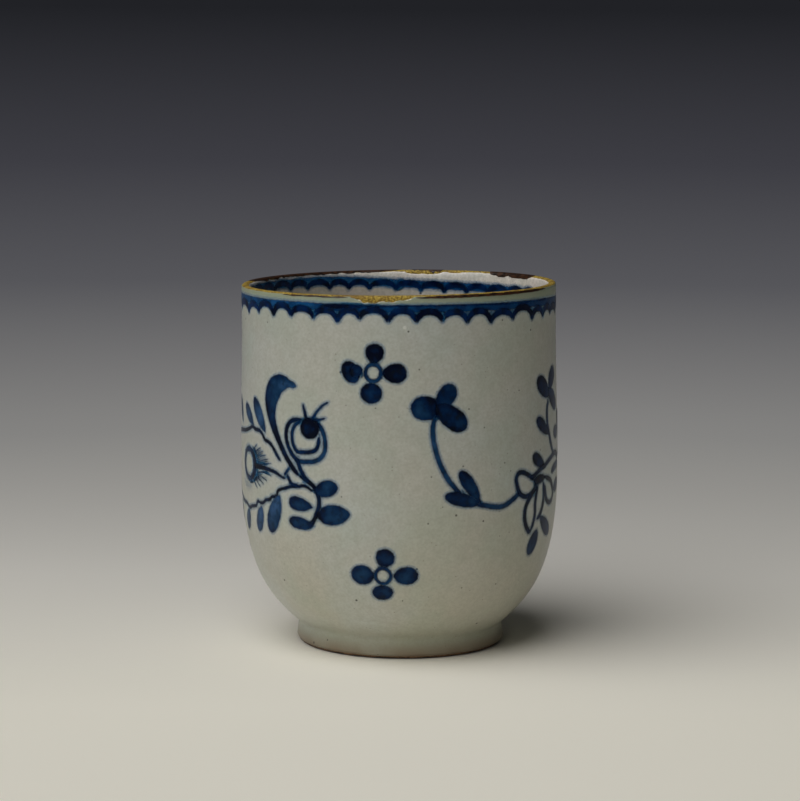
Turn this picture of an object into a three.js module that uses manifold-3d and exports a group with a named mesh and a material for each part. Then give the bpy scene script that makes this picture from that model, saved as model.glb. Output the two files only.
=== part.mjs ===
// A small coffee cup of tin-glazed earthenware, without a handle, painted in cobalt blue.
//
// The clay body is thrown and turned in one piece: wall, floor and foot ring. Three coats of white
// glaze lie on it, outside, inside and in the hollow of the foot, and the foot's edge stays bare.
// A brown line runs along the lip and has worn off in places, down to the buff clay. The painting
// is scalloped borders, four-petalled florets and flower sprays, each stroke a thin solid that
// stands just clear of the glaze.
//
// Millimetres, +Z up. The origin is the middle of the foot ring, on the table. The side with the
// two florets faces -Y, and angles round the cup are counted from there, in degrees, towards +X.

import * as THREE from 'three';
import { mergeVertices } from 'three/addons/utils/BufferGeometryUtils.js';
import Module from 'manifold-3d';

const wasm = await Module();
wasm.setup();

// Driving dimensions of the cup
const cupHeight = 71.6;           // table to the top of the lip
const rimRadius = 31.0;           // outside of the lip
const bellySwell = 0.4;           // the wall at its widest stands this far outside the lip
const bellyHeight = 34.2;         // where the round bowl runs into the upright wall
const footRadius = 20.65;         // outside of the foot ring
const footTaper = 0.35;           // how far the foot ring draws in up to the crease
const footHeight = 4.1;           // table to the crease between foot and bowl
const footRingWidth = 3.0;        // from the outside of the ring to the hollow
const footEdgeRounding = 0.25;    // worn edge of the ring, outside and inside
const recessDepth = 3.4;          // hollow under the cup
const recessCorner = 1.3;         // slope between the hollow's side and its roof
const lipThickness = 1.7;         // glaze included, as are the next two
const wallThickness = 2.6;        // at the belly
const floorThickness = 4.1;
const floorFlatRadius = 10;       // flat middle of the inside
const bowlSpread = 5.45;          // the bowl leaves the crease this far outwards
const bowlLift = 4.75;            // for this much height
const bowlFullness = 19.8;        // pull of the upright wall on the bowl's curve, outside
const insideFullness = 18.6;      // the same inside
const floorSpread = 12.5;         // pull of the flat floor on the inside curve

// The cup is a little out of true, as it was thrown
const rimLean = 0.83;             // the rim's middle stands this far left of the foot's
const rimRise = 0.48;             // the rim is this much high at its right, and low at its left

// Coats and the lip's brown line
const glazeThickness = 0.35;
const bareFootEdge = 0.6;         // the glaze stops this far above the table
const lipLineDepth = 0.6;         // the line comes this far down each side of the lip
const lipLineThickness = 0.3;     // on the crown of the lip
const aroundSteps = 40;           // facets round the body
const lipArcs = {                 // what is left of the line: first and last angle
  lip_line_front_left: [-45, -18],
  lip_line_front_right: [9, 63],
  lip_line_back_right: [117, 144],
  lip_line_back_middle: [162, 171],
  lip_line_back_left: [180, 261],
};

// Paint
const paintClearance = 0.15;      // between the glaze and a stroke
const paintThickness = 0.2;

// Motifs are drawn in parts of the way round the belly, so that the painting always closes round
// the cup. A part is about a millimetre, and strokes' points, widths and steps are all in parts.
const partsRound = 197.3;
const strokeStep = 2.2;           // longest straight piece of a stroke
const strokeSteps = 5;            // and the least pieces that a stroke has
const ringSteps = 10;             // the same for a small ring

// Scalloped borders, outside and inside
const borderDrop = 1.8;           // lip to the band's upper edge
const borderBand = 1.8;           // plain height of the band
const scallopDepth = 1.5;         // from the band down to the points of the scallops
const scallopCount = 38;
const scallopFacets = 3;
const scallopRoundness = 2.2;     // 1 is a zigzag, and more makes the arches rounder

// Florets: a ring and four petals, in parts
const floretRingRadius = 1.85;
const floretRingStroke = 0.9;
const petalGap = 0.2;

// Where the motifs stand: angle round the cup, and height as a share of the painted field, which
// reaches from the crease of the foot up to the border
const upperFloretPlace = { angle: -8.8, share: 0.847 };
const lowerFloretPlace = { angle: -6.3, share: 0.227 };
const leftSprayPlace = { angle: -36.5, share: 0.527 };
const rightSprayPlace = { angle: 51.1, share: 0.486 };
const backSprayPlace = { angle: 169, share: 0.53 };
const backUpperFloretPlace = { angle: 163, share: 0.83 };
const backLowerFloretPlace = { angle: 190, share: 0.2 };

const cup = new THREE.Group();

// Profiles are lists of points, x out from the axis and y up

const point = (x, y) => new THREE.Vector2(x, y);

const bellyRadius = rimRadius + bellySwell;
const waistRadius = footRadius - footTaper;
const ringInsideRadius = footRadius - footRingWidth;
const lipLineFoot = cupHeight - lipLineDepth;
const floorHeight = recessDepth + floorThickness;
const insideBellyRadius = bellyRadius - wallThickness;
const bowlSteps = 8;
const insideSteps = 6;
const lipSteps = 4;

const bowlCurve = new THREE.CubicBezierCurve(
  point(waistRadius, footHeight),
  point(waistRadius + bowlSpread, footHeight + bowlLift),
  point(bellyRadius, bellyHeight - bowlFullness),
  point(bellyRadius, bellyHeight),
);

const insideCurve = new THREE.CubicBezierCurve(
  point(insideBellyRadius, bellyHeight),
  point(insideBellyRadius, bellyHeight - insideFullness),
  point(floorFlatRadius + floorSpread, floorHeight),
  point(floorFlatRadius, floorHeight),
);

// Outside of the outer glaze, from the foot up to the lip's line
const outsideProfile = [
  point(footRadius, bareFootEdge),
  ...bowlCurve.getPoints(bowlSteps),
  point((bellyRadius + rimRadius) / 2, (bellyHeight + lipLineFoot) / 2),
  point(rimRadius, lipLineFoot),
];

// Surface of the inner glaze, from the lip's line down to the middle of the floor
const insideProfile = [
  point(rimRadius - lipThickness, lipLineFoot),
  ...insideCurve.getPoints(insideSteps),
  point(0, floorHeight),
];

// Surface of the glaze under the foot, from the middle out to the bare edge
const recessProfile = [
  point(0, recessDepth),
  point(ringInsideRadius - 2 * recessCorner, recessDepth),
  point(ringInsideRadius - recessCorner / 2, recessDepth - recessCorner),
  point(ringInsideRadius, bareFootEdge),
];

// Moves each point of an open profile sideways, to the right of its direction of travel
function offsetProfile(profile, distance) {
  return profile.map((here, index) => {
    const before = profile[Math.max(index - 1, 0)];
    const after = profile[Math.min(index + 1, profile.length - 1)];
    const along = after.clone().sub(before).normalize();
    return point(here.x + along.y * distance, here.y - along.x * distance);
  });
}

// The round crown between two points of the lip, both left out
function lipCrown(from, to, rise) {
  const crown = [];
  for (let step = 1; step < lipSteps; step += 1) {
    const turn = (Math.PI * step) / lipSteps;
    const across = (1 - Math.cos(turn)) / 2;
    const base = from.clone().lerp(to, across);
    crown.push(point(base.x, base.y + rise * Math.sin(turn)));
  }
  return crown;
}

const clayOutside = offsetProfile(outsideProfile, -glazeThickness);
const clayInside = offsetProfile(insideProfile, -glazeThickness);
const clayRecess = offsetProfile(recessProfile, -glazeThickness);
const clayLip = lipCrown(clayOutside.at(-1), clayInside[0], lipLineDepth - lipLineThickness);
const lineCrown = lipCrown(outsideProfile.at(-1), insideProfile[0], lipLineDepth);

// Outside radius and outward normal at a height, on the faceted profile itself
function wallAt(height) {
  let index = 1;
  while (index < outsideProfile.length - 1 && outsideProfile[index].y < height) {
    index += 1;
  }
  const below = outsideProfile[index - 1];
  const above = outsideProfile[index];
  const share = (height - below.y) / (above.y - below.y);
  const along = above.clone().sub(below).normalize();
  return { radius: below.x + (above.x - below.x) * share, out: along.y, up: -along.x };
}

function insideRadiusAt(height) {
  const [upper, lower] = insideProfile;
  return upper.x + ((lower.x - upper.x) * (height - upper.y)) / (lower.y - upper.y);
}

// A place on a surface of revolution: angle round the cup in radians, then radius and height
function place(angle, radius, height) {
  return new THREE.Vector3(radius * Math.sin(angle), -radius * Math.cos(angle), height);
}

// Leans and tilts a geometry as the whole cup leans. The table plane stays flat.
function outOfTrue(geometry) {
  const position = geometry.getAttribute('position');
  for (let index = 0; index < position.count; index += 1) {
    const x = position.getX(index);
    const z = position.getZ(index);
    const up = z / cupHeight;
    position.setX(index, x - rimLean * up);
    position.setZ(index, z + (rimRise * up * x) / rimRadius);
  }
  return geometry;
}

function addPiece(name, geometry, material) {
  const solid = outOfTrue(geometry);
  solid.computeVertexNormals();
  const mesh = new THREE.Mesh(solid, material);
  mesh.name = name;
  cup.add(mesh);
}

// Finishes
const buffClay = () => new THREE.MeshStandardMaterial({ color: 0xb98f5c, roughness: 0.85 });
const tinGlaze = () => new THREE.MeshStandardMaterial({ color: 0xc2c6b9, roughness: 0.22 });
const ironBrown = () => new THREE.MeshStandardMaterial({ color: 0x4a2b14, roughness: 0.4 });
const cobaltBlue = () => new THREE.MeshStandardMaterial({ color: 0x14305c, roughness: 0.25 });

// Joins rings of points into one closed skin. Each ring is the same section of the piece, first its
// outer chain and then its inner chain backwards, and a piece that isn't a loop gets end faces.
// Every four-sided face is folded from its low corner to its high one, so that two coats that share
// a leaning surface share its triangles too.
function sweep(rings, isLoop) {
  const size = rings[0].length;
  const triangles = [];
  const spans = isLoop ? rings.length : rings.length - 1;
  for (let ring = 0; ring < spans; ring += 1) {
    const next = (ring + 1) % rings.length;
    for (let side = 0; side < size; side += 1) {
      const beside = (side + 1) % size;
      const [a, b] = [ring * size + side, ring * size + beside];
      const [c, d] = [next * size + beside, next * size + side];
      if (rings[ring][side].z <= rings[ring][beside].z) {
        triangles.push(a, c, b, a, d, c);
      } else {
        triangles.push(a, d, b, b, d, c);
      }
    }
  }
  if (!isLoop) {
    const last = (rings.length - 1) * size;
    for (let side = 0; side < size / 2 - 1; side += 1) {
      const [a, b, c, d] = [side, side + 1, size - 2 - side, size - 1 - side];
      triangles.push(a, b, c, a, c, d);
      triangles.push(last + a, last + c, last + b, last + a, last + d, last + c);
    }
  }
  const geometry = new THREE.BufferGeometry().setFromPoints(rings.flat());
  geometry.setIndex(triangles);
  return geometry;
}

// Angle of a facet's edge, and a profile set up in the plane there
const facetTurn = (facet) => (2 * Math.PI * facet) / aroundSteps;
const section = (profile, facet) => profile.map(({ x, y }) => place(facetTurn(facet), x, y));

// Turns a profile about the axis. It starts and ends on the axis, or closes on itself.
function turned(profile) {
  const rings = [];
  for (let facet = 0; facet < aroundSteps; facet += 1) {
    rings.push(section(profile, facet));
  }
  return sweep(rings, true);
}

// Clay body and its coats
addPiece('clay_body', turned([
  ...clayRecess,
  point(ringInsideRadius + footEdgeRounding, 0),
  point(footRadius - glazeThickness - footEdgeRounding, 0),
  ...clayOutside,
  ...clayLip,
  ...clayInside,
]), buffClay());

addPiece('outer_glaze', turned([
  ...outsideProfile,
  ...clayOutside.toReversed(),
]), tinGlaze());

addPiece('inner_glaze', turned([
  ...clayInside.toReversed(),
  ...insideProfile,
]), tinGlaze());

addPiece('foot_recess_glaze', turned([
  ...recessProfile,
  ...clayRecess.toReversed(),
]), tinGlaze());

// The lip's brown line, in what arcs are left of it
const lipLineSection = [
  outsideProfile.at(-1),
  ...lineCrown,
  insideProfile[0],
  clayInside[0],
  ...clayLip.toReversed(),
  clayOutside.at(-1),
];
const facetAt = (degrees) => Math.round((degrees * aroundSteps) / 360);

for (const [name, [first, last]] of Object.entries(lipArcs)) {
  const rings = [];
  for (let facet = facetAt(first); facet <= facetAt(last); facet += 1) {
    rings.push(section(lipLineSection, facet));
  }
  addPiece(name, sweep(rings, false), ironBrown());
}

// Borders: a plain band whose lower edge hangs in points between shallow arches
const borderTop = cupHeight - borderDrop;
const borderFoot = borderTop - borderBand - scallopDepth;

function borderLowerEdge(share) {
  const towardsPoint = Math.abs(2 * share - 1);
  return borderTop - borderBand - scallopDepth * towardsPoint ** scallopRoundness;
}

function border(radiusAt, skin) {
  const rings = [];
  for (let facet = 0; facet < scallopCount * scallopFacets; facet += 1) {
    const angle = (2 * Math.PI * facet) / (scallopCount * scallopFacets);
    const lower = borderLowerEdge((facet % scallopFacets) / scallopFacets);
    const near = paintClearance * skin;
    const far = (paintClearance + paintThickness) * skin;
    const corners = [
      place(angle, radiusAt(lower) + far, lower),
      place(angle, radiusAt(borderTop) + far, borderTop),
      place(angle, radiusAt(borderTop) + near, borderTop),
      place(angle, radiusAt(lower) + near, lower),
    ];
    rings.push(skin > 0 ? corners : corners.toReversed());
  }
  return sweep(rings, true);
}

addPiece('outer_border', border((height) => wallAt(height).radius, 1), cobaltBlue());
addPiece('inner_border', border(insideRadiusAt, -1), cobaltBlue());

// A place on the painted wall: parts right of and above a motif's own place, and how far out in mm
const fieldHeight = borderFoot - footHeight;
const part = (2 * Math.PI * bellyRadius) / partsRound;

function onWall(motif, across, above, out) {
  const height = footHeight + motif.share * fieldHeight + above * part;
  const wall = wallAt(height);
  const angle = THREE.MathUtils.degToRad(motif.angle) + (across * part) / wall.radius;
  return place(angle, wall.radius + out * wall.out, height + out * wall.up);
}

// A brush stroke along a smooth path, with its widths at even steps of the way
function stroke(motif, path, widths, isLoop = false, leastSteps = strokeSteps) {
  const curve = new THREE.CatmullRomCurve3(
    path.map(([across, above]) => new THREE.Vector3(across, above, 0)),
    isLoop,
    'centripetal',
  );
  const steps = Math.max(leastSteps, Math.ceil(curve.getLength() / strokeStep));
  const rings = [];
  for (let step = 0; step < steps + (isLoop ? 0 : 1); step += 1) {
    const along = step / steps;
    const middle = curve.getPointAt(along);
    const tangent = curve.getTangentAt(along);
    const slot = along * (widths.length - 1);
    const before = Math.min(Math.floor(slot), widths.length - 2);
    const half = THREE.MathUtils.lerp(widths[before], widths[before + 1], slot - before) / 2;
    const [sideX, sideY] = [-tangent.y * half, tangent.x * half];
    const near = paintClearance;
    const far = paintClearance + paintThickness;
    rings.push([
      onWall(motif, middle.x - sideX, middle.y - sideY, far),
      onWall(motif, middle.x + sideX, middle.y + sideY, far),
      onWall(motif, middle.x + sideX, middle.y + sideY, near),
      onWall(motif, middle.x - sideX, middle.y - sideY, near),
    ]);
  }
  return sweep(rings, isLoop);
}

// The usual strokes. A leaf is drawn from its tip to its stalk.
const leaf = (motif, path, width) => {
  const widths = [0.35, 0.85, 1, 0.8, 0.3].map((share) => share * width);
  return stroke(motif, path, widths);
};
const line = (motif, path, width) => stroke(motif, path, [width * 0.7, width, width, width * 0.7]);
const loop = (motif, path, width) => stroke(motif, path, [width, width], true);

function petal(motif, [fromX, fromY], degrees, length, width) {
  const turn = THREE.MathUtils.degToRad(degrees);
  const path = [0, 0.5, 1].map((share) => [
    fromX + Math.cos(turn) * length * share,
    fromY + Math.sin(turn) * length * share,
  ]);
  return stroke(motif, path, [0.4, 0.8, 0.97, 1, 0.8, 0.4].map((share) => share * width));
}

function ring(motif, [middleX, middleY], radius, width) {
  const points = [];
  const reach = radius - width / 2;
  for (let step = 0; step < ringSteps; step += 1) {
    const turn = (2 * Math.PI * step) / ringSteps;
    points.push([middleX + reach * Math.cos(turn), middleY + reach * Math.sin(turn)]);
  }
  return stroke(motif, points, [width, width], true, ringSteps);
}

// Strokes that run into each other become one solid
function joined(strokes) {
  const solids = strokes.map((geometry) => {
    const merged = mergeVertices(geometry);
    return new wasm.Manifold(new wasm.Mesh({
      numProp: 3,
      vertProperties: merged.getAttribute('position').array,
      triVerts: new Uint32Array(merged.index.array),
    }));
  });
  const whole = solids.reduce((sum, solid) => sum.add(solid)).getMesh();
  const geometry = new THREE.BufferGeometry();
  geometry.setAttribute('position', new THREE.BufferAttribute(whole.vertProperties, 3));
  geometry.setIndex(new THREE.BufferAttribute(whole.triVerts, 1));
  return geometry;
}

// Each entry paints one piece: its name, and then its strokes
function paint(pieces) {
  for (const [name, ...strokes] of pieces) {
    addPiece(name, strokes.length > 1 ? joined(strokes) : strokes[0], cobaltBlue());
  }
}

// Florets. Petals are given by name: direction in degrees, length, width.
const upperPetals = {
  top: [86, 3.5, 3.8],
  left: [174, 3.8, 4.0],
  bottom: [263, 3.6, 4.2],
  right: [359, 4.5, 3.9],
};
const lowerPetals = {
  top: [80, 3.3, 3.9],
  left: [178, 4.3, 3.7],
  bottom: [270, 3.6, 3.8],
  right: [359, 4.9, 3.5],
};

function floretPetal(motif, [degrees, length, width], reach) {
  const turn = THREE.MathUtils.degToRad(degrees);
  return petal(motif, [reach * Math.cos(turn), reach * Math.sin(turn)], degrees, length, width);
}

// In front each petal is a piece of its own, just clear of the ring
function paintFloret(prefix, motif, petals) {
  const reach = floretRingRadius + petalGap;
  paint([
    [`${prefix}_ring`, ring(motif, [0, 0], floretRingRadius, floretRingStroke)],
    ...Object.entries(petals).map(([side, shape]) => [
      `${prefix}_${side}_petal`,
      floretPetal(motif, shape, reach),
    ]),
  ]);
}

// At the back the petals run into the ring
function wholeFloret(motif, petals) {
  const reach = floretRingRadius - floretRingStroke / 2;
  return [
    ring(motif, [0, 0], floretRingRadius, floretRingStroke),
    ...Object.values(petals).map((shape) => floretPetal(motif, shape, reach)),
  ];
}

paintFloret('upper_floret', upperFloretPlace, upperPetals);
paintFloret('lower_floret', lowerFloretPlace, lowerPetals);

// Left spray: a big flower seen half round the side, a bud on its stem, and leaves
const left = leftSprayPlace;

paint([
  ['left_comma_leaf', stroke(left, [
    [-0.9, 0.6], [-3.3, 3.2], [-5.6, 6.2], [-7.3, 9], [-8, 11.5], [-7.9, 14], [-6.6, 16.2],
    [-4.2, 16.9], [-2, 16.5],
  ], [0.6, 0.8, 1.1, 1.7, 3, 4.1, 3.9, 2.6, 1])],
  ['left_bud',
    line(left, [
      [0.1, 10.7], [-2.6, 10.2], [-3.8, 7.7], [-3.2, 5.5], [-1.5, 3.3], [0.5, 2.5], [2.9, 2.6],
      [5, 3.4], [5.8, 5.6], [5.5, 7.8], [4.5, 9.8],
    ], 0.9),
    line(left, [
      [-0.6, 10.2], [-1.9, 8.4], [-2.3, 6.7], [-1.6, 5], [-0.6, 4.4], [1.5, 4.3], [3.5, 5.1],
      [4.3, 6.7], [4.5, 8.6],
    ], 1),
    petal(left, [2.2, 6.9], 90, 4.2, 4.4),
    line(left, [[1.8, 10.4], [1.2, 12], [0.7, 13.4]], 0.7),
    line(left, [[2.8, 10.5], [4.2, 12.8], [6.3, 14.3]], 0.8),
    line(left, [[3.2, 10.4], [4.6, 10.9], [5.9, 11.1]], 0.6),
  ],
  ['left_stem', line(left, [
    [0.5, 0.9], [1.3, -0.3], [2.9, -2.2], [4, -4.3], [4.1, -6.3], [3.4, -8.7],
  ], 1.1)],
  ['left_stem_leaf_1', leaf(left, [[8.4, -1.7], [6.6, -2.3], [4.9, -2.8]], 3.1)],
  ['left_stem_leaf_2', leaf(left, [[10.7, -6.9], [7.7, -7.2], [5, -7.6]], 4)],
  ['left_stem_leaf_3', leaf(left, [[-3, -4.6], [0, -5.6], [2.7, -6.2]], 3.1)],
  ['left_stem_leaf_4', leaf(left, [[-3.1, -9.2], [-0.3, -9.6], [2, -10.2]], 2.9)],
  ['left_flower_upper_edge', line(left, [
    [-33, 0.6], [-30.5, 3.4], [-27, 5.4], [-22.9, 6.6], [-17.8, 7.1], [-13.2, 6.9], [-10.5, 5.5],
    [-8, 4.4], [-5.6, 2.3],
  ], 0.9)],
  ['left_flower_lower_edge',
    line(left, [
      [-2.6, -2.3], [-5.3, -3.4], [-7.6, -5], [-10.7, -6.4], [-14.4, -8.1], [-19.2, -8.4],
      [-24.5, -7.4], [-29.5, -5], [-33, -1.2],
    ], 1),
    line(left, [[-2.8, 0.8], [-3.9, -0.4], [-2.9, -1.9], [-0.6, -2.4]], 0.8),
  ],
  ['left_flower_eye', ring(left, [-17.3, -0.3], 3.2, 0.9)],
  ['left_flower_vein', line(left, [[-13.6, -0.4], [-10.8, 0.1], [-8, 0.1], [-5.3, -0.5]], 1.1)],
  ['left_flower_leaf_above_1', leaf(left, [[-14.5, 13.4], [-12.6, 10.2], [-11, 7.8]], 2.7)],
  ['left_flower_leaf_above_2', leaf(left, [[-18.7, 12], [-17.8, 10], [-16.8, 8.4]], 2.4)],
  ['left_flower_leaf_above_3', leaf(left, [[-25, 12], [-23.6, 10], [-22.4, 8]], 2.4)],
  ['left_flower_leaf_above_4', leaf(left, [[-32, 9.6], [-30.2, 8.2], [-28.4, 6.4]], 2.4)],
  ['left_flower_leaf_below_1', leaf(left, [[-8.2, -12.5], [-7.4, -9.3], [-7, -6.3]], 4.2)],
  ['left_flower_leaf_below_2', leaf(left, [[-13.8, -13.2], [-13, -11], [-12.6, -8.7]], 2.8)],
  ['left_flower_leaf_below_3', leaf(left, [[-20, -13.6], [-19, -11.8], [-18.6, -9.9]], 2.6)],
  ['left_flower_leaf_below_4', leaf(left, [[-27.4, -12], [-26.2, -10.4], [-25.2, -8.8]], 2.5)],
]);

// Right spray: a trefoil on a long stem, a knot of loops at the root, and a leafy branch
const right = rightSprayPlace;

paint([
  ['right_trefoil',
    petal(right, [-20.6, 16.1], 177, 5, 4.6),
    petal(right, [-20.4, 16.4], 51, 4.7, 4.1),
    petal(right, [-20.6, 16.2], 323, 6.1, 4.5),
  ],
  ['right_trefoil_stem', line(right, [
    [-21.5, 12.9], [-21.4, 11.5], [-21.2, 9.1], [-20.5, 6.3], [-19.3, 3.5], [-18.2, 1.5],
  ], 1.1)],
  ['right_leaf_pair',
    leaf(right, [[-16.3, 3.9], [-14.6, 1], [-11.6, -2.5]], 3.2),
    leaf(right, [[-19.4, -0.3], [-15.8, -1.7], [-11.6, -2.7]], 3),
  ],
  ['right_root_stem', line(right, [
    [-10.8, -3.2], [-9.4, -3.5], [-6.9, -3.6], [-4.7, -2.8], [-3.5, -2.2],
  ], 1.2)],
  ['right_heart_loop', loop(right, [
    [-2.2, -1.6], [-3, 0.5], [-2.7, 2], [-0.6, 2.3], [2, 1], [2.9, -0.7], [2, -2], [-0.3, -2.4],
  ], 0.9)],
  ['right_heart_leaf', leaf(right, [[2.7, 5.6], [4, 4.2], [5.1, 3.1]], 2.5)],
  ['right_fan_loop_1', loop(right, [
    [1.4, -4], [0.2, -5.4], [-0.4, -7.4], [1, -9.6], [2.4, -7.8], [2.5, -5],
  ], 0.8)],
  ['right_fan_loop_2', loop(right, [
    [4.8, -1.2], [3.9, -3.6], [4, -6.6], [4.9, -8.2], [6, -6], [6.1, -3],
  ], 0.8)],
  ['right_fan_loop_3', loop(right, [
    [8.4, -1.2], [7.5, -3.2], [8.3, -5], [10.3, -5.8], [11.4, -4], [10.2, -1.8],
  ], 0.8)],
  ['right_fan_leaf_1', leaf(right, [[8.9, -12.1], [8.4, -9.6], [6.9, -7.6]], 3)],
  ['right_fan_leaf_2', leaf(right, [[2.9, -14.6], [3.3, -12.3], [4, -9.9]], 3.2)],
  ['right_branch_stem',
    line(right, [[4, 0.9], [5.6, 1.9], [8.4, 2.4], [11.2, 3.2], [13.9, 3.7]], 0.9),
    line(right, [
      [13.6, 3.6], [11.6, 5.8], [8.9, 10.1], [7.9, 12.8], [8.7, 15.3], [9.6, 16.7],
    ], 0.9),
  ],
  ['right_branch_leaf_1', leaf(right, [[5.6, 20.1], [5.8, 17.9], [7, 15.7]], 3.3)],
  ['right_branch_leaf_2', leaf(right, [[11.6, 21.6], [11, 19.8], [10.4, 17.8]], 2.7)],
  ['right_branch_leaf_3', leaf(right, [[13, 12.2], [12.3, 14.2], [10.9, 15.9]], 2.6)],
  ['right_branch_leaf_4', leaf(right, [[4.2, 12.4], [5.6, 10.2], [7.8, 8.5]], 2.8)],
  ['right_branch_leaf_5', leaf(right, [[14, 9.6], [14.6, 7.6], [14.4, 5.4]], 2.5)],
]);

// Back: nothing of it shows from the front, so a plain trailing stem joins the two sprays
const back = backSprayPlace;
const trailReach = 48.5;          // parts from the middle of the trail to each end of the stem
const trailSwing = 3.6;           // how far it waves up and down
const trailWaves = 2;
const trailSteps = 16;
const trailStemWidth = 1;
const trailLeafLength = 7;
const trailLeafWidth = 3.4;
const trailLeafCount = 10;

const trailHeight = (across) => trailSwing * Math.sin((Math.PI * trailWaves * across) / trailReach);

const trailPath = [];
for (let step = 0; step <= trailSteps; step += 1) {
  const across = trailReach * ((2 * step) / trailSteps - 1);
  trailPath.push([across, trailHeight(across)]);
}

const trail = [line(back, trailPath, trailStemWidth)];
for (let index = 0; index < trailLeafCount; index += 1) {
  const side = index % 2 ? -1 : 1;
  const across = trailReach * ((2 * index + 1) / trailLeafCount - 1);
  const stalk = trailHeight(across);
  const bend = [across - trailLeafLength / 8, stalk + (side * trailLeafLength) / 2];
  const tip = [across - trailLeafLength / 2, stalk + side * trailLeafLength];
  trail.push(leaf(back, [tip, bend, [across, stalk]], trailLeafWidth));
}

paint([
  ['back_trailing_stem', ...trail],
  ['back_upper_floret', ...wholeFloret(backUpperFloretPlace, upperPetals)],
  ['back_lower_floret', ...wholeFloret(backLowerFloretPlace, lowerPetals)],
]);

export default cup;
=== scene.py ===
# A small coffee cup of tin-glazed earthenware, painted in cobalt, on a pale studio sweep.
#
# The sections follow the potter and the painter: clay, glaze, lip, borders and then the flower
# sprays, stroke by stroke. Sizes are written in millimetres, as 31.4 * mm, or are points on the
# painter's paper, which is explained where the first strokes are drawn.

from math import cos, pi, radians, sin, tau

import bpy
import numpy as np
from mathutils import Matrix, Vector, noise


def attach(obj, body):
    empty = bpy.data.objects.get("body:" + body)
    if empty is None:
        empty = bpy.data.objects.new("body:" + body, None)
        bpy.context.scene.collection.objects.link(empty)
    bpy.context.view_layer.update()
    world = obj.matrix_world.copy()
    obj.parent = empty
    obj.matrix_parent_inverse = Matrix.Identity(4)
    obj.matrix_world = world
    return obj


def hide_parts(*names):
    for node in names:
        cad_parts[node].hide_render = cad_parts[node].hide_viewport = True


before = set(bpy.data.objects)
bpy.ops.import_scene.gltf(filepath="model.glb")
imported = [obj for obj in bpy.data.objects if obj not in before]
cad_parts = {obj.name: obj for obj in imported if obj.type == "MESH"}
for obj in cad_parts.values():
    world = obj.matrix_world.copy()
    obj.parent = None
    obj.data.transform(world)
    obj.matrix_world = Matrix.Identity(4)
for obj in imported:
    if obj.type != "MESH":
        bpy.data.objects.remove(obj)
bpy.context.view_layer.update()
bpy.ops.object.select_all(action="DESELECT")
mm = 0.001


# Clay body: wall, floor and foot ring of buff earthenware, thrown in one lump and turned when
# leather-hard. It shows only under the foot ring and along the lip, where the glaze has worn off.
# The lip is a ring of its own here, fine enough for its gritty, chipped edge.

weld_reach = 0.002 * mm


def new_line(name, kind):
    line = bpy.data.curves.new(name, "CURVE")
    line.dimensions = "3D"
    piece = bpy.data.objects.new(name, line)
    bpy.context.scene.collection.objects.link(piece)
    return piece, line, line.splines.new(kind)


def turn_on_wheel(name, outline, steps, fineness=8, arc=(0, 360), faces_in=False):
    """Draws an outline of (radius, height, pull back, pull ahead) in millimetres and turns it.

    The pulls bend the outline, and without them it runs straight. The arc is in degrees round
    the cup, from the side with the florets towards +X.
    """
    piece, line, spline = new_line(name, "BEZIER")
    line.resolution_u = fineness
    spline.bezier_points.add(len(outline) - 1)
    for point, (radius, height, *pulls) in zip(spline.bezier_points, outline):
        back, ahead = pulls or (None, None)
        point.co = Vector((radius, 0, height)) * mm
        point.handle_left_type = "FREE" if back else "VECTOR"
        point.handle_right_type = "FREE" if ahead else "VECTOR"
        if back:
            point.handle_left = Vector((radius + back[0], 0, height + back[1])) * mm
        if ahead:
            point.handle_right = Vector((radius + ahead[0], 0, height + ahead[1])) * mm
    use_only(piece)
    bpy.ops.object.convert(target="MESH")
    piece.rotation_euler.z = radians(arc[0] - 90)
    bpy.ops.object.transform_apply()
    bpy.ops.object.mode_set(mode="EDIT")
    bpy.ops.mesh.select_all(action="SELECT")
    bpy.ops.mesh.spin(steps=steps, angle=-radians(arc[1] - arc[0]), center=(0, 0, 0), axis=(0, 0, 1))
    bpy.ops.mesh.select_all(action="SELECT")
    bpy.ops.mesh.remove_doubles(threshold=weld_reach)
    bpy.ops.mesh.normals_make_consistent(inside=False)
    bpy.ops.object.mode_set(mode="OBJECT")
    outwards = sum(face.normal.xy.dot(face.center.xy) * face.area for face in piece.data.polygons)
    if (outwards < 0) != faces_in:
        piece.data.flip_normals()
    return piece


def use_only(piece):
    bpy.ops.object.select_all(action="DESELECT")
    piece.select_set(True)
    bpy.context.view_layer.objects.active = piece


def apply_modifier(piece, kind, **settings):
    use_only(piece)
    modifier = piece.modifiers.new(kind.title(), kind)
    for name, value in settings.items():
        setattr(modifier, name, value)
    bpy.ops.object.modifier_apply(modifier=modifier.name)


def roughen(piece, name, feature, depth):
    """Moves a surface in and out, by up to half of depth, in features of the given size."""
    clouds = bpy.data.textures.new(name, "CLOUDS")
    clouds.noise_scale = feature
    clouds.noise_basis = "IMPROVED_PERLIN"
    apply_modifier(piece, "DISPLACE", texture=clouds, texture_coords="LOCAL", strength=depth)


# The real rim stands 0.8 mm left of the foot and half a millimetre high at its right. Each piece
# is modelled upright and then bent in this cage, which moves the top and leaves the table plane.
cup_height = 71.6 * mm
rim_radius = 31.0 * mm
rim_lean = 0.83 * mm
rim_rise = 0.48 * mm
cage_half = 40 * mm
cage_height = 80 * mm
top_share = cage_height / cup_height

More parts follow.
